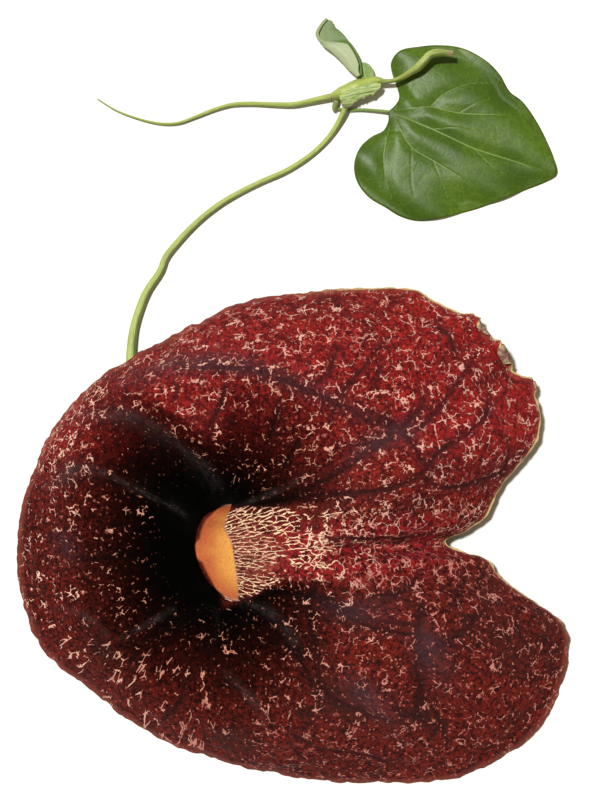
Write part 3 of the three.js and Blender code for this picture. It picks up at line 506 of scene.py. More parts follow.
def point_normals(points, faces):
    """Unit normals at the points of a mesh of triangles and quads."""
    normals = np.zeros_like(points)
    for size in (3, 4):
        group = np.array([f for f in faces if len(f) == size], int).reshape(-1, size)
        p = points[group]
        face = np.cross(p[:, size - 2] - p[:, 0], p[:, size - 1] - p[:, size - 3])
        for k in range(size):
            np.add.at(normals, group[:, k], face)
    return normals / np.maximum(np.linalg.norm(normals, axis=1, keepdims=True), 1e-9)


def faces_below(faces, count):
    """The same faces turned over, for points that follow the first `count`."""
    return [tuple(count + i for i in reversed(face)) for face in faces]


def thick_rings(rings, pole, thickness):
    """Close a sheet of rings: its underside has half the rows and columns. Thickness is by point."""
    sizes = [len(ring) for ring in rings]
    upper = np.concatenate(rings + [pole[None]])
    faces = ring_faces(sizes)
    normals = point_normals(upper, faces)
    starts = running(sizes)
    picks = [starts[r] + np.arange(0, sizes[r], 2) for r in range(0, len(sizes), 2)]
    below_sizes = [len(pick) for pick in picks]
    picks = np.concatenate(picks + [[len(upper) - 1]])
    below = upper[picks] - normals[picks] * thickness[picks][:, None]
    upper[:, 2] = np.maximum(upper[:, 2], thickness)
    below[:, 2] = np.maximum(below[:, 2], 0)
    faces += faces_below(ring_faces(below_sizes), len(upper))
    strip = ring_faces([sizes[0], below_sizes[0]], close=False)
    beyond = len(upper) - sizes[0]
    faces += [tuple(i if i < sizes[0] else beyond + i for i in reversed(face)) for face in strip]
    return np.concatenate([upper, below]), faces, picks


def new_object(name, data):
    made = bpy.data.objects.new(name, data)
    bpy.context.collection.objects.link(made)
    return made


def piece(name, points, faces, material, replaced, attributes):
    """A mesh in metres, with its point attributes, that rides on the root body."""
    mesh = bpy.data.meshes.new(name)
    mesh.from_pydata(((points + CENTRING) * MM).tolist(), [], faces)
    mesh.update()
    for key, values in attributes.items():
        kind, field = ("FLOAT_VECTOR", "vector") if values.ndim == 2 else ("FLOAT", "value")
        layer = mesh.attributes.new(key, kind, "POINT")
        layer.data.foreach_set(field, np.asarray(values, np.float32).ravel())
    mesh.polygons.foreach_set("use_smooth", np.ones(len(mesh.polygons), bool))
    mesh.materials.append(material)
    made = new_object(name, mesh)
    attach(made, "root")
    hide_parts(replaced)


def colour(red, green, blue):
    """Linear colour from 0 to 255 screen values."""
    def linear(v):
        v /= 255
        return v / 12.92 if v <= 0.04045 else ((v + 0.055) / 1.055) ** 2.4
    return (linear(red), linear(green), linear(blue), 1.0)


class Nodes:
    """Short names for building a material's node tree. Values are sockets or constants."""

    def __init__(self, name):
        self.material = bpy.data.materials.new(name)
        self.material.use_nodes = True
        self.tree = self.material.node_tree
        self.tree.nodes.clear()
        self.output = self.tree.nodes.new("ShaderNodeOutputMaterial")

    def add(self, kind, inputs, output=0, **settings):
        """A new node with its inputs filled, by name or number. Returns the output asked for, or all."""
        node = self.tree.nodes.new("ShaderNode" + kind)
        for key, value in settings.items():
            setattr(node, key, value)
        for key, value in inputs.items():
            if isinstance(value, bpy.types.NodeSocket):
                self.tree.links.new(value, node.inputs[key])
            elif value is not None:
                node.inputs[key].default_value = value
        return node.outputs if output is None else node.outputs[output]

    def place(self):
        """Position on the piece, in metres."""
        return self.add("TexCoord", {}, "Object")

    def __getitem__(self, name):
        """A number that the mesh holds at each point."""
        return self.add("Attribute", {}, "Fac", attribute_name=name)

    def vector(self, name):
        return self.add("Attribute", {}, "Vector", attribute_name=name)

    def math(self, operation, a, b, clamp=False):
        return self.add("Math", {0: a, 1: b}, operation=operation, use_clamp=clamp)

    def times(self, value, *factors):
        for factor in factors:
            value = self.math("MULTIPLY", value, factor)
        return value

    def vector_math(self, operation, a, b=None, c=None):
        output = "Value" if operation in ("DOT_PRODUCT", "LENGTH") else "Vector"
        return self.add("VectorMath", {0: a, 1: b, 2: c}, output, operation=operation)

    def scaled(self, vector, factors):
        return self.vector_math("MULTIPLY", vector, factors)

    def noise(self, vector, scale, detail=3.0, roughness=0.55, output="Fac"):
        inputs = {"Vector": vector, "Scale": scale, "Detail": detail, "Roughness": roughness}
        return self.add("TexNoise", inputs, output)

    def voronoi(self, vector, scale, feature="F1", dimensions="3D"):
        inputs = {"Vector": vector, "Scale": scale}
        return self.add("TexVoronoi", inputs, None, feature=feature, voronoi_dimensions=dimensions)

    def borders(self, vector, scale):
        """Distance to the nearest border between cells."""
        return self.voronoi(vector, scale, "DISTANCE_TO_EDGE")["Distance"]

    def warped(self, vector, scale, amount):
        """The vector pushed about by noise."""
        push = self.noise(vector, scale, 2.0, output="Color")
        push = self.vector_math("SUBTRACT", push, (0.5, 0.5, 0.5))
        return self.vector_math("MULTIPLY_ADD", push, (amount, amount, amount), vector)

    def step(self, value, low, high, out_low=0.0, out_high=1.0):
        """Smooth change from out_low to out_high as the value goes from low to high."""
        inputs = {"Value": value, "From Min": low, "From Max": high, "To Min": out_low, "To Max": out_high}
        return self.add("MapRange", inputs, "Result", interpolation_type="SMOOTHSTEP")

    def mix(self, factor, a, b):
        """Blend of two colours, each a socket or three screen values."""
        a, b = (colour(*c) if isinstance(c, tuple) else c for c in (a, b))
        return self.add("Mix", {0: factor, 6: a, 7: b}, 2, data_type="RGBA")

    def mix_value(self, factor, a, b):
        return self.add("Mix", {0: factor, 2: a, 3: b}, data_type="FLOAT")

    def layers(self, base, *layers):
        """Colours laid over a base in turn, each with the share that it covers."""
        for share, tint in layers:
            base = self.mix(share, base, tint)
        return base

    def bump(self, height, distance, strength):
        return self.add("Bump", {"Height": height, "Distance": distance, "Strength": strength})

    def surface(self, **inputs):
        """Finish the material. An underscore in the name of an input stands for a space."""
        inputs = {key.replace("_", " "): value for key, value in inputs.items()}
        self.tree.links.new(self.add("BsdfPrincipled", inputs), self.output.inputs["Surface"])
        return self.material


def border_mm(n, cells, across, along):
    """Distance in mm to the nearest border of flat cells, which measure across by along mm."""
    first, second = (n.voronoi(cells, 1.0, feature, "2D")["Position"] for feature in ("F1", "F2"))
    apart = n.vector_math("SUBTRACT", second, first)
    middle = n.scaled(n.vector_math("ADD", second, first), (0.5, 0.5, 0.5))
    gap = n.vector_math("DOT_PRODUCT", apart, n.vector_math("SUBTRACT", middle, cells))
    size = n.add("CombineXYZ", {0: across, 1: along, 2: 1.0})
    return n.math("DIVIDE", gap, n.vector_math("LENGTH", n.vector_math("DIVIDE", apart, size)))


def in_patches(n, vector, scale, keep):
    """Above 0 in round patches of uneven size, which grow with `keep`."""
    cells = n.voronoi(vector, scale)
    reach = n.times(keep, n.step(cells["Color"], 0.0, 1.0, 0.7, 1.3))
    return n.math("SUBTRACT", reach, cells["Distance"])


def drawn_line(n, border, half):
    """1 on a border, falling to 0 at half the width of its line."""
    return n.math("SUBTRACT", 1.0, n.math("DIVIDE", border, half), clamp=True)


def throat_net(n, flow, near):
    """Net of slender cells that opens out from the throat and breaks up further away."""
    bent = n.scaled(n.warped(n.warped(flow, 0.9, 1.1), 3.2, 0.34), (1.0, 1.0, 0.0))
    outward = n.add("SeparateXYZ", {0: flow}, 1)
    border = border_mm(n, bent, n.times(outward, 0.085), 3.4)
    kept = in_patches(n, n.warped(flow, 0.88, 1.75), 0.33, n.times(near, 1.2))
    beads = n.step(n.noise(flow, 2.6, 2.0), 0.34, 0.66, 0.25, 1.6)
    line = drawn_line(n, border, n.times(n.step(near, 0.4, 1.0, 0.25, 0.17), beads))
    return n.times(n.step(line, 0.0, 0.65), n.step(kept, 0.0, 0.12))


def broken_net(n, vector, scale, keep, width, patch_scale, rough=1.0):
    """A beaded net of cell borders, kept only in round patches that grow with `keep`."""
    bent = n.warped(n.warped(vector, scale * 1.6, rough * 0.5 / scale), scale * 6.0, rough * 0.16 / scale)
    kept = in_patches(n, n.warped(vector, patch_scale * 2.2, 0.7 / patch_scale), patch_scale, keep)
    beads = n.step(n.noise(vector, scale * 4.0, 1.0), 0.3, 0.7, 0.5, 1.5)
    half = n.times(n.step(kept, 0.0, 0.25, 0.5 * width, width), beads)
    line = drawn_line(n, n.borders(bent, scale), half)
    return n.times(n.step(line, 0.05, 0.55), n.step(kept, 0.0, 0.06))


def cream_net(n, flow, place, vein, near):
    """Stretched net beside the throat, small branched scraps further out, rays at lower left."""
    keep = n.times(n["net"], n.step(vein, 0.25, 0.8, 1.0, 0.3), n.step(near, 0.3, 0.9, 1.0, 0.0))
    wide = broken_net(n, place, 290.0, keep, 0.06, 250.0, 1.3)
    small = broken_net(n, n.scaled(place, (1.0, 1.0, 0.9)), 420.0, n.times(keep, 0.8), 0.07, 400.0)
    rays = broken_net(n, n.vector("polar"), 1.0, n["rays"], 0.095, 0.62, 0.8)
    scraps = n.math("MAXIMUM", n.math("MAXIMUM", wide, n.times(small, 0.7)), rays)
    least = n.mix_value(n["glow"], 0.5, 0.8)
    fade = n.step(n.noise(place, 85.0, 2.0), 0.3, 0.5, least, 1.0)
    return n.math("MAXIMUM", throat_net(n, flow, near), n.times(scraps, fade))


def limb_ground(n, place, vein):
    """Velvet ground: fine red grain with painted light and shade, dark veins with smoky edges, painted sheen,
    and the black zone.
    """
    painted_lit, band = n["painted_lit"], n["band"]
    grain = n.noise(place, 1250.0, 3.0, 0.65)
    mottle = n.noise(place, 680.0, 3.0, 0.6)
    patch = n.noise(place, 90.0)
    cloud = n.noise(n.warped(place, 60.0, 0.006), 42.0, 4.0, 0.6)
    cells = n.borders(n.warped(place, 900.0, 0.0016), 620.0)
    lesser_veins = n.borders(n.warped(n.vector("polar"), 0.5, 0.8), 0.5)
    glow = n.times(n.step(cells, 0.0, 0.22, 0.65, 1.0), n.step(grain, 0.22, 0.68))

    # painted light: a shaded and a lit copy of each red, mixed by where the limb faces the lamp
    def painted_light_tone(shaded, lit):
        return n.mix(painted_lit, shaded, lit)

    deep = n.mix(n.times(band, 0.7), painted_light_tone((64, 19, 15), (106, 22, 21)), (122, 26, 30))
    red = n.layers(
        painted_light_tone((128, 37, 30), (177, 43, 42)),
        (n.step(patch, 0.35, 0.7, 0.0, 0.6), painted_light_tone((112, 30, 22), (160, 34, 30))),
        (band, (162, 36, 42)),
    )
    red = n.layers(
        n.mix(glow, deep, red),
        (n.step(mottle, 0.49, 0.6, 0.0, 0.85), painted_light_tone((40, 15, 12), (86, 21, 22))),
        (n.times(n.step(cloud, 0.5, 0.66, 0.0, 0.6), n["foggy"]), painted_light_tone((52, 31, 28), (78, 34, 34))),
        (n.times(n.step(lesser_veins, 0.085, 0.0), n.step(patch, 0.3, 0.6, 0.8, 0.35)),
         painted_light_tone((40, 20, 20), (66, 22, 26))),
        (n.times(n["halo"], n.step(patch, 0.3, 0.7, 0.7, 0.25)), painted_light_tone((52, 28, 28), (70, 34, 38))),
        (n.times(vein, n.step(mottle, 0.3, 0.68, 0.85, 0.4)), (38, 20, 21)),
        # painted sheen: grey-purple along the sheen bands
        (n.times(n["sheen_band"], n.step(mottle, 0.3, 0.7, 0.95, 0.5)), (74, 46, 52)),
        (n.times(n["lip"], n.step(mottle, 0.35, 0.6, 0.45, 0.1)), (158, 86, 74)),
    )
    unlit = n.times(n.math("SUBTRACT", 1.0, n["dark"]), n.step(glow, 0.0, 1.0, 0.75, 1.3))
    black = n.math("SUBTRACT", 1.0, unlit, clamp=True)
    return n.mix(black, red, (3, 3, 2)), black, mottle, grain


def limb_outside(n, place, vein):
    """Outer face: pale green and cream, with a mauve net of veins."""
    veins = n.borders(n.warped(place, 120.0, 0.004), 150.0)
    fine_veins = n.borders(n.warped(place, 400.0, 0.0012), 480.0)
    return n.layers(
        n.mix(n.noise(place, 60.0, 2.0), (178, 168, 122), (164, 138, 124)),
        (n.step(veins, 0.0, 0.09, 0.75, 0.0), (104, 48, 60)),
        (n.step(fine_veins, 0.0, 0.14, 0.35, 0.0), (122, 62, 72)),
        (n.times(vein, 0.5), (110, 104, 66)),
    )


def velvet_material():
    """Burgundy velvet with a broken cream net, a black zone and an orange throat; pale outside."""
    n = Nodes("limb_velvet")
    flow, place = n.vector("flow"), n.place()
    vein, near, throat, edge_mm, outside = n["vein"], n["near"], n["throat"], n["edge_mm"], n["outside"]
    red, black, mottle, grain = limb_ground(n, place, vein)

    # dots everywhere, then the net, whose lines are tinted at their edges and duller in the black zone
    spots = n.voronoi(n.warped(place, 900.0, 0.0005), 800.0)
    chance = n.step(n.add("SeparateColor", {0: spots["Color"]}), 0.66, 0.84)
    dots = n.times(n.step(spots["Distance"], 0.36, 0.16), chance, n["dots"])
    red = n.mix(dots, red, n.mix(black, (178, 96, 82), (120, 66, 58)))
    net = cream_net(n, flow, place, vein, near)
    cream = n.layers(
        n.mix(n["glow"], (196, 132, 120), (240, 202, 184)),
        (near, (246, 216, 172)),
        (n.times(n["lip"], 0.4), (206, 156, 140)),
    )
    cream = n.mix(n.step(net, 0.35, 0.95), n.mix(near, (170, 74, 66), (190, 120, 90)), cream)
    red = n.mix(net, red, n.mix(n.times(n["dark"], 0.75), cream, (190, 118, 90)))

    # painted light: a pinkish band on the thin margin, as if light shone through it, which ends in a pale
    # line;
    # painted sheen: grey streaks on the crests where hairs catch the light
    strand = n.vector("strand")
    sheen_streaks = n.noise(n.scaled(n.warped(strand, 0.35, 1.2), (0.3, 6.5, 1.0)), 1.0, 3.0, 0.75)
    sheen_patches = n.step(n.noise(strand, 0.16, 2.0), 0.3, 0.62, 0.3, 1.0)
    rim_blotch = n.noise(place, 300.0, 2.0)
    red = n.layers(
        red,
        # painted light: pinkish band where light would shine through the thin margin
        (n.step(edge_mm, 2.6, 0.3, 0.0, 0.5), n.mix(rim_blotch, (120, 46, 40), (168, 98, 84))),
        (n.times(n.step(edge_mm, 0.75, 0.25), n["rim_line"]), (214, 190, 132)),
        # painted sheen: grey streaks on the crests where hairs catch the light
        (n.times(n["crest"], n.step(sheen_streaks, 0.46, 0.68, 0.05, 0.7), sheen_patches), (84, 76, 75)),
    )

    # inside the throat, past a pale line along the lip
    orange = n.layers(
        n.mix(n.step(throat, 0.5, 0.9), (194, 102, 66), (236, 180, 90)),
        (n.step(n.noise(place, 1500.0, 2.0), 0.4, 0.7, 0.0, 0.5), (208, 132, 60)),
    )
    lip_line = n.times(n.step(throat, 0.4, 0.44, 0.0, 0.7), n.step(throat, 0.5, 0.46))
    base = n.layers(
        red,
        (n.step(throat, 0.45, 0.5), orange),
        (n.times(lip_line, n["lip_side"]), (206, 150, 124)),
        (outside, limb_outside(n, place, vein)),
    )
    relief = n.math("ADD", n.times(mottle, 0.6), n.times(grain, 0.5))
    return n.surface(
        Base_Color=base, Roughness=n.mix_value(outside, 0.85, 0.6), Normal=n.bump(relief, 0.0005, 0.7),
        Specular_IOR_Level=n.mix_value(black, 0.07, 0.0), Sheen_Roughness=0.5,
        Sheen_Weight=n.math("ADD", 0.015, n.times(n["sheen_band"], 0.06)),
        Sheen_Tint=(0.8, 0.74, 0.76, 1.0),
    )


def curl_margin(points, angle, edge_mm):
    """Roll short stretches of the margin up and over, so that they show their pale underside."""
    moved = points.copy()
    outward = np.stack([np.cos(angle), np.sin(angle)], axis=1)
    for at, half_width, depth, length, turn in MARGIN_CURLS:
        off = (angle - math.radians(at)) * margin_radius(math.radians(at))
        window = smooth(1.6 * (1 - np.abs(off) / half_width))
        beyond = np.where((edge_mm < depth) & (window > 0), depth - edge_mm, 0)
        bend = np.maximum(math.radians(turn) * window * beyond / depth, 1e-6)
        run = beyond * mix(1, length / depth, window)
        moved[:, :2] += outward * (run * np.sin(bend) / bend - beyond)[:, None]
        moved[:, 2] += run * (1 - np.cos(bend)) / bend
    return moved


def upper_masks(x, y, radius, on_limb, lip_share, past_lip, ragged):
    """Where the colours of the upper face lie, as shares from 0 to 1 at each point, and the same for
    the fan of stretched cells beside the throat."""
    # black zone round the throat, with a wide dusky border; the lip on the right stays light
    shift = 1 + np.minimum(0.25 * np.maximum(-x, 0), 9)
    from_middle = (np.abs(x + 4) ** 3 + np.abs(0.76 * (y - shift)) ** 3) ** (1 / 3)
    lit = clamp01((from_middle - 13) / 31) ** np.where(x < -4, 2.05, 2.1)
    upper_fold, lower_fold = (np.interp(x, *np.array(path, float).T) for _, path in LIMB_CRESTS[:2])
    above = smooth((y - upper_fold - 3) / 8) * smooth((8 - x) / 10)
    lit = np.maximum(lit, 0.8 * above * smooth((radius - 26) / 18))
    left_side = smooth((34 - y) / 12) * smooth((y + 32) / 12) * smooth((-x - 5) / 20)
    lit = lit * (1 - 0.32 * left_side)
    lit = lit * (1 - 0.25 * np.exp(-(((x - 42) / 24) ** 2) - ((y - 45) / 18) ** 2))
    fan = smooth((x + 0.4) / 3.6) * smooth((14.5 + 0.06 * x - y) / 4)
    fan = fan * smooth((np.maximum(18 - 0.45 * x, 9) + y) / 4)
    black = np.where(on_limb | (lip_share < 0.5), (1 - lit) * (1 - fan), 0)
    core = smooth((19 - from_middle) / 8) * (1 - fan)

    # how much of the cream net shows: most on the lip, some on the left margin, least at the bottom
    # and between the two folds; rays take its place at lower left
    off_band = np.abs(y + 1 - 0.055 * x)
    net = 0.46 + 0.05 * smooth((y - 5) / 30) + 0.18 * smooth((-x - 22) / 24) * smooth((y - 10) / 40)
    net += 0.16 * smooth((x - 8) / 16) * smooth((15 - off_band) / 8) * smooth((90 - x) / 20)
    net -= 0.03 * smooth((-y - 18) / 14) * smooth((x - 10) / 20)
    between = smooth((upper_fold + 2 - y) / 5) * smooth((y - lower_fold + 3) / 5)
    between *= smooth((x + 42) / 14) * smooth((6 - x) / 8)
    net = clamp01(net * (1 - 0.85 * core) * (1 - 0.3 * black) * (1 - 0.55 * between))
    rays = 0.49 * (1 - 0.3 * black) * smooth((-y - 16) / 14) * smooth((16 - x) / 20)
    rays = rays * smooth((radius - 26) / 10)
    net = net * (1 - smooth(rays / 0.4))

    # painted light: red lighter at upper right, where the limb faces the lamp; brighter in the band right of
    # the lip; brighter net nearer the throat
    painted_lit = clamp01(smooth((y - 8) / 34) * 0.8 + 0.25 * smooth((x - 40) / 36) * smooth((y + 6) / 16))
    painted_lit *= 1 - 0.45 * np.exp(-(((x - 30) / 22) ** 2) - ((y - 34) / 12) ** 2)
    band = smooth((x - 8) / 12) * smooth((12 - off_band) / 8) * smooth((84 - x) / 30)
    glow = np.maximum(smooth((62 - radius) / 40), np.maximum(smooth((-x - 10) / 20), 0.5 * smooth(y / 10)))
    glow *= 1 - 0.35 * smooth((-y - 14) / 14)
    corners = smooth((np.abs(y) / np.maximum(radius, 1) - 0.2) / 0.4) * smooth(-x / 3)
    # painted shade: past the lip the orange is darker towards the upper and lower ends of the floor, where it
    # runs in under the rim
    throat = np.where(past_lip, 1 - 0.3 * smooth((np.abs(y) - 5) / 8), clamp01(lip_share - 0.07 * corners))
    masks = {
        "dark": black, "net": net, "rays": rays, "painted_lit": painted_lit, "band": band, "glow": glow,
        "foggy": mix(0.45, 1.0, smooth((6 - y) / 20)) * (1 - band),
        "dots": clamp01(1 - core) * (1 - 0.4 * black),
        "throat": np.where(on_limb, 0, throat),
        "lip": smooth((12 - np.hypot((x - 6) / 1.5, (y + 0.5) * 1.1)) / 7) * fan,
        "lip_side": smooth(x / 3),
    }
    return masks, clamp01((46 - x + ragged) / 38) * fan


def make_perianth():
    rings = perianth_rings()
    sizes = [len(ring) for ring in rings]
    points = np.concatenate(rings + [TUBE_LINE[-1:]])
    x, y = points[:, 0], points[:, 1]
    angle, radius = np.arctan2(y, x), np.hypot(x, y)
    ring_of = np.append(np.repeat(np.arange(len(sizes)), sizes), len(sizes))
    lip_start = OUTER_ROWS + INNER_ROWS
    on_limb = ring_of < lip_start
    lip_share = clamp01((ring_of - lip_start) / (2 * LIP_ROWS))
    on_top = np.where(on_limb, 1.0, 1 - smooth(lip_share * 2))

    # crumpled nap and vein grooves, pressed along the normals
    wider_veins = [(2.6 * width, path) for width, path in LIMB_VEINS]
    vein = line_mask(LIMB_VEINS, x, y) * on_top
    halo = line_mask(wider_veins, x, y) * on_top
    crest = line_mask(LIMB_CRESTS, x, y) * on_top
    sheen_band = line_mask(LIMB_SHEEN_BANDS, x, y, 0.4) * on_top
    normals = point_normals(points, ring_faces(sizes))
    stretched = np.stack([8 * np.cos(angle), 8 * np.sin(angle), radius * 0.1], axis=1)
    rough = crumple(stretched, 1.1, 3) * 0.45 + crumple(points, 0.16, 3, 5.0) * 0.5
    rough += crumple(points, 0.55, 3, 9.0) * 0.22
    calm = on_top * smooth((radius - 10) / 12)
    points = points + normals * (rough * calm - 0.5 * vein)[:, None]
    edge_mm = np.where(on_limb, margin_radius(angle) - radius, 50)
    near_throat = np.where(on_limb, smooth((20 - radius) / 8), 1)
    thickness = mix(OUTER_THICKNESS, LIMB_THICKNESS, near_throat)
    thickness = mix(MARGIN_THICKNESS, thickness, smooth(edge_mm / 9))
    points = curl_margin(points, angle, edge_mm)
    rings = np.split(points + THROAT, np.cumsum(sizes))
    shell, faces, picks = thick_rings(rings[:-1], rings[-1][0], thickness)

    past_lip = ring_of >= lip_start + 2 * LIP_ROWS
    ragged = 5 * crumple(points, 0.12, 3, 2.0)
    upper, near = upper_masks(x, y, radius, on_limb, lip_share, past_lip, ragged)
    upper |= {"crest": crest, "sheen_band": sheen_band, "halo": halo}
    shared = {
        "vein": vein, "edge_mm": edge_mm, "near": near, "strand": strands(LIMB_CRESTS, x, y),
        "rim_line": smooth((x - 20) / 30) * smooth((y + 30) / 30),
        "flow": np.stack([np.arctan2(y + 1, x + 30) / 0.025, np.hypot(x + 30, y + 1) / 3.4, 0 * x], axis=1),
        "polar": np.stack([24 * np.cos(angle), 24 * np.sin(angle), 12 * np.log(np.maximum(radius, 4))],
                          axis=1),
    }
    attributes = {key: np.concatenate([values, values[picks]]) for key, values in shared.items()}
    attributes |= {key: np.append(values, np.zeros(len(picks))) for key, values in upper.items()}
    attributes["outside"] = np.repeat([0.0, 1.0], [len(points), len(picks)])
    piece("perianth_velvet", shell, faces, velvet_material(), "perianth", attributes)


def stem_part(line, radii, sides, steps, lobes=0, depth=0.0, cap=True, shade=0.0, brown=(0, 0, 0, 1)):
    """Closed round stem: radii spread evenly along the line, its ends rounded off. Brown is the share
    at the start, what is added, where along the stem it comes in, and over what stretch."""
    centres = even_points(line, steps + 1)
    tangents = np.gradient(centres, axis=0)
    tangents /= np.linalg.norm(tangents, axis=1, keepdims=True)
    step = lengths(centres).sum() / steps
    sideways = np.array([0.3, 0.2, 1.0])
    angles = TAU * np.arange(sides) / sides
    rings, sunny = [], []
    for i, (centre, tangent) in enumerate(zip(centres, tangents)):
        sideways, upward = carried(sideways, tangent)
        radius = eased(radii, i / steps)
        from_end = min(i, steps - i) * step
        if cap and from_end < radius:
            radius *= math.sqrt(max(0.08, 1 - (1 - from_end / radius) ** 2))
        wall = radius * (1 + depth * np.cos(lobes * angles))
        outward = np.outer(np.cos(angles), sideways) + np.outer(np.sin(angles), upward)
        rings.append(centre + wall[:, None] * outward)
        # painted light: how far each point faces the key light, for the stem's paler lit side and darker
        # shaded side
        sunny.append(outward @ np.array([-0.66, 0.6, 0.45]))
    points = np.concatenate(rings + [centres[-1:], centres[:1]])
    points[:, 2] = np.maximum(points[:, 2], 0)
    faces = ring_faces([sides] * (steps + 1))
    faces += [(len(points) - 1, (n + 1) % sides, n) for n in range(sides)]
    along = np.append(np.repeat(np.linspace(0, 1, steps + 1), sides), [1, 0])
    around = np.append(np.tile(angles, steps + 1), [0, 0])
    least, added, start, stretch = brown
    return points, faces, {
        "sunny": np.append(np.concatenate(sunny), [0, 0]) - shade,
        "cosine": np.cos(around), "sine": np.sin(around), "length_mm": along * lengths(line).sum(),
        "brown": least + added * smooth((along - start) / stretch),
    }


def stem_material(name, light, shade, tint):
    """Green stem painted lighter towards the key light and darker on its shady side, with lengthwise streaks,
    blotches and dry brown ends.
    """
    n = Nodes(name)
    wound = n.add("CombineXYZ", {0: n["cosine"], 1: n["sine"], 2: n.times(n["length_mm"], 0.05)})
    streaks = n.noise(wound, 4.0, 4.0, 0.6)
    blotch = n.noise(n.place(), 160.0)
    turned = n.math("ADD", n["sunny"], n.step(streaks, 0.3, 0.7, -0.35, 0.35))
    base = n.layers(
        n.mix(n.step(turned, -0.7, 0.7), shade, light),
        (n.step(blotch, 0.5, 0.75, 0.0, 0.5), tint),
        (n["brown"], n.mix(n.step(streaks, 0.4, 0.6), (116, 92, 60), (186, 172, 130))),
    )
    return n.surface(
        Base_Color=base, Roughness=0.36, Specular_IOR_Level=0.5, Subsurface_Weight=0.06,
        Subsurface_Radius=(0.0012, 0.0016, 0.0005), Subsurface_Scale=0.4,
        Normal=n.bump(n.math("ADD", streaks, n.times(blotch, 0.4)), 0.00035, 0.8),
    )


def make_stem(name, parts, material, replaced):
    """One piece from several stems, each given by the arguments of stem_part."""
    points, faces, values = zip(*(stem_part(**part) for part in parts))
    offsets = running([len(p) for p in points]).tolist()
    faces = [tuple(offset + i for i in face) for offset, part in zip(offsets, faces) for face in part]
    attributes = {key: np.concatenate([part[key] for part in values]) for key in values[0]}
    piece(name, np.concatenate(points), faces, material, replaced, attributes)


def make_stems():
    green = stem_material("stem_green", (166, 182, 88), (88, 108, 34), (142, 142, 84))
    make_stem("vine_green", [
        dict(line=NODE_LINE, radii=[1.1, 2.2, 2.4, 1.7, 1], sides=40, steps=60, lobes=3, depth=0.05),
        dict(line=VINE_RIGHT, radii=[1.1, 0.64, 0.95, 1.35, 1.3, 0.9], sides=32, steps=120, cap=False,
             shade=0.55, brown=(0, 1, 0.9, 0.08)),
        dict(line=VINE_LEFT, radii=[0.2, 0.32, 0.45, 0.6, 0.7, 0.8, 0.95], sides=24, steps=220),
    ], green, "vine_stem")

    sac_end = TUBE_LINE[-1] + THROAT
    outward = unit(TUBE_LINE[-1] - TUBE_LINE[-2])
    seat = sac_end + outward * LIMB_THICKNESS
    make_stem("peduncle_green", [
        dict(line=PEDUNCLE, radii=[0.95, 0.8, 0.84, 0.9, 1.05, 1.25, 1.55], sides=28, steps=260,
             lobes=6, depth=0.03),
        dict(line=OVARY + [tuple(seat + 4 * outward), tuple(seat)], radii=[1.5, 2, 2.5, 2.7, 2.7],
             sides=48, steps=70, lobes=6, depth=0.1, cap=False),
    ], green, "peduncle")

    dark_green = stem_material("petiole_green", (124, 156, 78), (70, 94, 40), (150, 146, 96))
    make_stem("petiole_green", [
        dict(line=PETIOLE, radii=[0.5, 0.5, 0.5, 0.5], sides=20, steps=60),
        dict(line=PETIOLE_FOOT, radii=[0.85, 0.95, 0.7], sides=28, steps=30, brown=(0.2, 0.5, 0.5, 0.4)),
    ], dark_green, "leaf_petiole")

    inward = unit(TUBE_LINE[-3] - TUBE_LINE[-1])
    cream = stem_material("column_cream", (222, 210, 160), (200, 186, 130), (206, 160, 120))
    make_stem("column_cream", [
        dict(line=[tuple(sac_end + inward * d) for d in (TOUCH_GAP, 3, 6, 9)],
             radii=[1.6, 2.4, 3.4, 3.6, 2.6], sides=48, steps=30, lobes=6, depth=0.16),
    ], cream, "gynostemium")


def blade_sheet(outline, centre, columns, rows, height, power=1.0):
    """Rings from the outline to the centre: points, faces, border, and how far out each point is."""
    margin = even_points(outline, columns, closed=True)
    area = np.sum(margin[:, 0] * np.roll(margin[:, 1], -1) - margin[:, 1] * np.roll(margin[:, 0], -1))
    if area < 0:
        margin = margin[::-1]
    middle = np.array(centre, float)
    shares = 1 - (np.arange(rows) / rows) ** power
    flat = np.concatenate([mix(middle, margin, s) for s in shares] + [middle[None]])
    share = np.append(np.repeat(shares, columns), 0)
    z = height(flat[:, 0], flat[:, 1], share)
    return np.column_stack([flat, z]), ring_faces([columns] * rows), np.arange(columns), share


def make_blade(name, points, faces, border, thickness, material, slot, replaced, outside=None, **both):
    """Close a sheet with a copy below and a strip round its border. Both faces have the same
    attributes, but for `outside`, which is 0 above and has the given value below."""
    below = points - point_normals(points, faces) * thickness[:, None]
    upper = points.copy()
    upper[:, 2] = np.maximum(upper[:, 2], thickness)
    below[:, 2] = np.maximum(below[:, 2], 0)
    count = len(points)
    strip = [(int(a), int(count + a), int(count + b), int(b)) for a, b in zip(border, np.roll(border, -1))]
    attributes = {key: np.concatenate([values, values]) for key, values in both.items()}
    if outside is not None:
        attributes["outside"] = np.repeat([0.0, outside], count)
    piece(name, np.concatenate([upper, below]), faces + faces_below(faces, count) + strip, material,
          replaced, attributes)


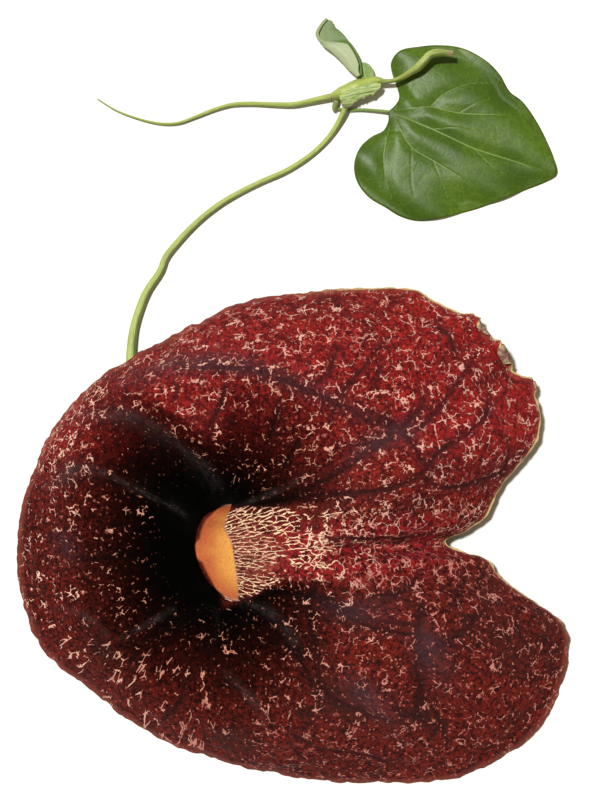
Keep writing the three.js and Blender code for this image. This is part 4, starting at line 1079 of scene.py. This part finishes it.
def leaf_material(name, dark, light, veins, under, gloss, cell):
    """Leaf tissue: fine net of veins, pale main veins, lighter and duller underside."""
    n = Nodes(name)
    place, outside = n.place(), n["outside"]
    net = n.borders(n.warped(place, 500.0, 0.0009), cell)
    fine = n.borders(n.warped(place, 1200.0, 0.0003), cell * 3.2)
    base = n.layers(
        n.mix(n.step(n.noise(place, 70.0), 0.3, 0.7), dark, light),
        (n.step(n.noise(place, 900.0, 3.0, 0.7), 0.35, 0.65, 0.0, 0.6), dark),
        (n.step(fine, 0.0, 0.2, 0.12, 0.0), light),
        (n.step(net, 0.0, 0.06, 0.12, 0.0), veins),
        (n.step(n["vein"], 0.3, 0.9, 0.0, 0.8), veins),
        (n["pale"], under),
        (n.times(outside, 0.8), under),
    )
    height = n.math("ADD", n.step(net, 0.0, 0.16), n.times(n.step(fine, 0.0, 0.25), 0.4))
    return n.surface(
        Base_Color=base, Roughness=n.mix_value(outside, gloss, 0.7), Normal=n.bump(height, 0.0001, 0.16),
        Specular_IOR_Level=0.35, Subsurface_Weight=0.06, Subsurface_Radius=(0.0005, 0.001, 0.0002),
        Subsurface_Scale=0.5,
    )


def make_leaf():
    def height(x, y, share):
        arch = 3 * (1 - share ** 3)
        flutter = 1.3 * np.sin(0.23 * x + 0.31 * y) * share ** 3
        stalk_end = 1.2 * np.exp(-((np.hypot(x - LEAF_JUNCTION[0], y - LEAF_JUNCTION[1]) / 8) ** 2))
        return 0.7 + arch + fold_relief(LEAF_VEINS, x, y) + flutter + stalk_end

    points, faces, border, share = blade_sheet(LEAF_OUTLINE, (43, 80), 360, 100, height, 0.8)
    x, y = points[:, 0], points[:, 1]
    lines = [(width, path) for width, (_, _, path) in zip(LEAF_VEIN_WIDTHS, LEAF_VEINS)]
    lines += [(LEAF_SIDE_VEIN_WIDTH, path) for path in LEAF_SIDE_VEINS]
    groove = line_mask([(2.5 * width, path) for width, path in lines], x, y, 0.06)
    quilt = crumple(points, 0.05, 2) * 0.5 + crumple(points, 0.3, 2, 4.0) * 0.03
    relief = quilt * smooth((1 - share) / 0.1) - 0.12 * groove
    points = points + point_normals(points, faces) * relief[:, None]
    thickness = mix(MARGIN_THICKNESS, LEAF_THICKNESS, smooth((1 - share) / 0.12))
    material = leaf_material(
        "leaf_green", (54, 82, 10), (84, 112, 24), (118, 144, 58), (132, 158, 96), 0.45, 330.0)
    make_blade("leaf_glossy", points, faces, border, thickness, material, "leaf", "leaf_blade",
               outside=1.0, vein=line_mask(lines, x, y, 0.06), pale=0 * x)


def bract_material():
    """Thin scale with lengthwise streaks, a dark middle line and a dry brown edge."""
    n = Nodes("bract_scale")
    streaks = n.noise(n.scaled(n.vector("lie"), (0.3, 2.4, 1.0)), 1.0, 4.0, 0.65)
    base = n.layers(
        n.mix(n.step(streaks, 0.36, 0.62), (116, 148, 70), (186, 200, 134)),
        (n.step(streaks, 0.62, 0.74), (214, 218, 176)),
        (n["vein"], (80, 108, 44)),
        (n["brown"], n.mix(n.step(streaks, 0.4, 0.6), (122, 104, 78), (178, 166, 138))),
    )
    return n.surface(
        Base_Color=base, Roughness=0.42, Normal=n.bump(streaks, 0.0003, 0.8), Specular_IOR_Level=0.4,
        Subsurface_Weight=0.1, Subsurface_Radius=(0.001, 0.0014, 0.0005), Subsurface_Scale=0.5,
    )


def make_bract():
    def lie(x, y):
        """Distances along and across the bract from its middle."""
        return 0.97 * (x - 18) + 0.243 * (y - 91.5), 0.97 * (y - 91.5) - 0.243 * (x - 18)

    def height(x, y, share):
        along, across = lie(x, y)
        flutes = 0.14 * np.sin(4.2 * across + 0.5 * along) * share
        return 6.3 - 0.15 * across ** 2 - 0.25 * smooth((share - 0.7) / 0.3) + flutes

    points, faces, border, share = blade_sheet(BRACT_OUTLINE, (17.5, 91.3), 160, 30, height)
    along, across = lie(points[:, 0], points[:, 1])
    fray = crumple(points, 1.3, 3, 3.0) * smooth((share - 0.75) / 0.25)
    lower = smooth((-across - 0.4) / 1.2)
    points[:, 1] += 0.4 * fray * (0.3 + lower)
    points[:, 2] += 0.25 * fray + 0.12 * crumple(points, 0.7, 2, 2.0)
    off_middle = np.abs(across + 0.3 + 0.15 * np.sin(0.6 * along))
    make_blade(
        "bract_pale", points, faces, border, mix(0.2, YOUNG_THICKNESS, smooth((1 - share) / 0.4)),
        bract_material(), "young_growth", "node_bract",
        vein=0.8 * smooth((0.3 - off_middle) / 0.25) * smooth((5 - np.abs(along)) / 2),
        brown=smooth((share + 0.12 * fray - 0.84) / 0.14) * lower,
        lie=np.stack([along, across, 0 * along], axis=1),
    )


def make_small_leaf():
    def height(x, y, share):
        return 1.9 + 0.45 * (x - 17.2)

    points, faces, border, share = blade_sheet(SMALL_LEAF_OUTLINE, (19.7, 98.6), 96, 24, height)
    points[:, 2] += crumple(points, 0.5, 2, 2.0) * 0.25
    vein = line_mask([(0.14, [(19.6, 96), (19.2, 98.5), (18.8, 100.3)])], points[:, 0], points[:, 1])
    material = leaf_material(
        "young_green", (112, 142, 76), (142, 166, 104), (172, 186, 128), (176, 178, 138), 0.5, 700.0)
    thickness = mix(0.25, YOUNG_THICKNESS, smooth((1 - share) / 0.3))
    make_blade("small_leaf_green", points, faces, border, thickness, material, "young_growth", "small_leaf",
               outside=1.0, vein=vein, pale=0 * vein)


def make_young_leaf():
    """Leaf folded along its left side; the near half ends below the middle."""
    rows, across = 70, 26
    shares = np.arange(rows + 1) / rows
    points, pale = [], []
    for v, fold, edge in zip(shares, spline(YOUNG_FOLD, shares), spline(YOUNG_EDGE, shares)):
        reach = mix(0.5 + 0.34 * smooth(v / 0.2), 0.04, smooth((v - 0.5) / 0.12))
        open_by = min(1.9, 0.3 * np.linalg.norm(edge - fold)) * mix(1, 0.3, smooth((v - 0.48) / 0.14))
        near_half = 1 - 0.45 * smooth((v - 0.5) / 0.1)
        for k in range(-across, across + 1):
            s = abs(k) / across
            flat = mix(fold, edge, s * reach if k < 0 else s)
            side = 1 - 0.25 * s if k < 0 else -1 + 0.9 * s ** 3
            points.append((*flat, mix(4.3, 3.1, v) + open_by * math.sqrt(min(1, 2.5 * s)) * side))
            pale.append(near_half if k < 0 else 0.6 * (1 - s) ** 2 * smooth((v - 0.4) / 0.2))
    grid = np.arange(len(points)).reshape(rows + 1, -1)
    corners = [grid[:-1, :-1], grid[:-1, 1:], grid[1:, 1:], grid[1:, :-1]]
    faces = [tuple(face) for face in np.stack(corners, axis=-1).reshape(-1, 4).tolist()]
    border = np.concatenate([grid[0], grid[1:, -1], grid[-1, -2::-1], grid[-2:0:-1, 0]])
    material = leaf_material(
        "folded_green", (78, 108, 40), (106, 134, 62), (132, 150, 90), (176, 188, 150), 0.5, 700.0)
    pale = 0.9 * np.array(pale)
    make_blade("young_leaf_folded", np.array(points), faces, border, np.full(len(points), 0.5), material,
               "young_growth", "young_leaf", outside=0.0, vein=0 * pale, pale=pale)


def make_stage():
    """Plain pale table, soft light from the upper left, and the camera straight above."""
    mesh = bpy.data.meshes.new("table_top")
    r = TABLE_REACH
    mesh.from_pydata([(-r, -r, 0), (r, -r, 0), (r, r, 0), (-r, r, 0)], [], [(0, 1, 2, 3)])
    mesh.materials.append(Nodes("table_white").surface(Base_Color=(0.9, 0.9, 0.89, 1.0), Roughness=0.9))
    table = new_object("table_top", mesh)

    sun = bpy.data.lights.new("key_light", "SUN")
    sun.energy = 3.5
    sun.angle = math.radians(5)
    sun.color = (1.0, 0.99, 0.97)
    new_object("key_light", sun).rotation_euler = SUNLIGHT.to_track_quat("-Z", "Y").to_euler()
    world = bpy.data.worlds.new("studio")
    world.use_nodes = True
    background = world.node_tree.nodes["Background"]
    background.inputs["Color"].default_value = (1.0, 0.82, 0.56, 1.0)
    background.inputs["Strength"].default_value = 0.24

    camera = bpy.data.cameras.new("camera")
    camera.lens = CAMERA_LENS
    camera.sensor_width = 36.0
    camera.clip_start = 0.01
    eye = new_object("camera", camera)
    eye.location = (CENTRING[0] * MM, CENTRING[1] * MM, CAMERA_DISTANCE)
    scene = bpy.context.scene
    scene.world = world
    scene.camera = eye
    scene.view_settings.view_transform = "Standard"
    scene.view_settings.look = "None"


make_perianth()
make_stems()
make_leaf()
make_bract()
make_small_leaf()
make_young_leaf()
make_stage()
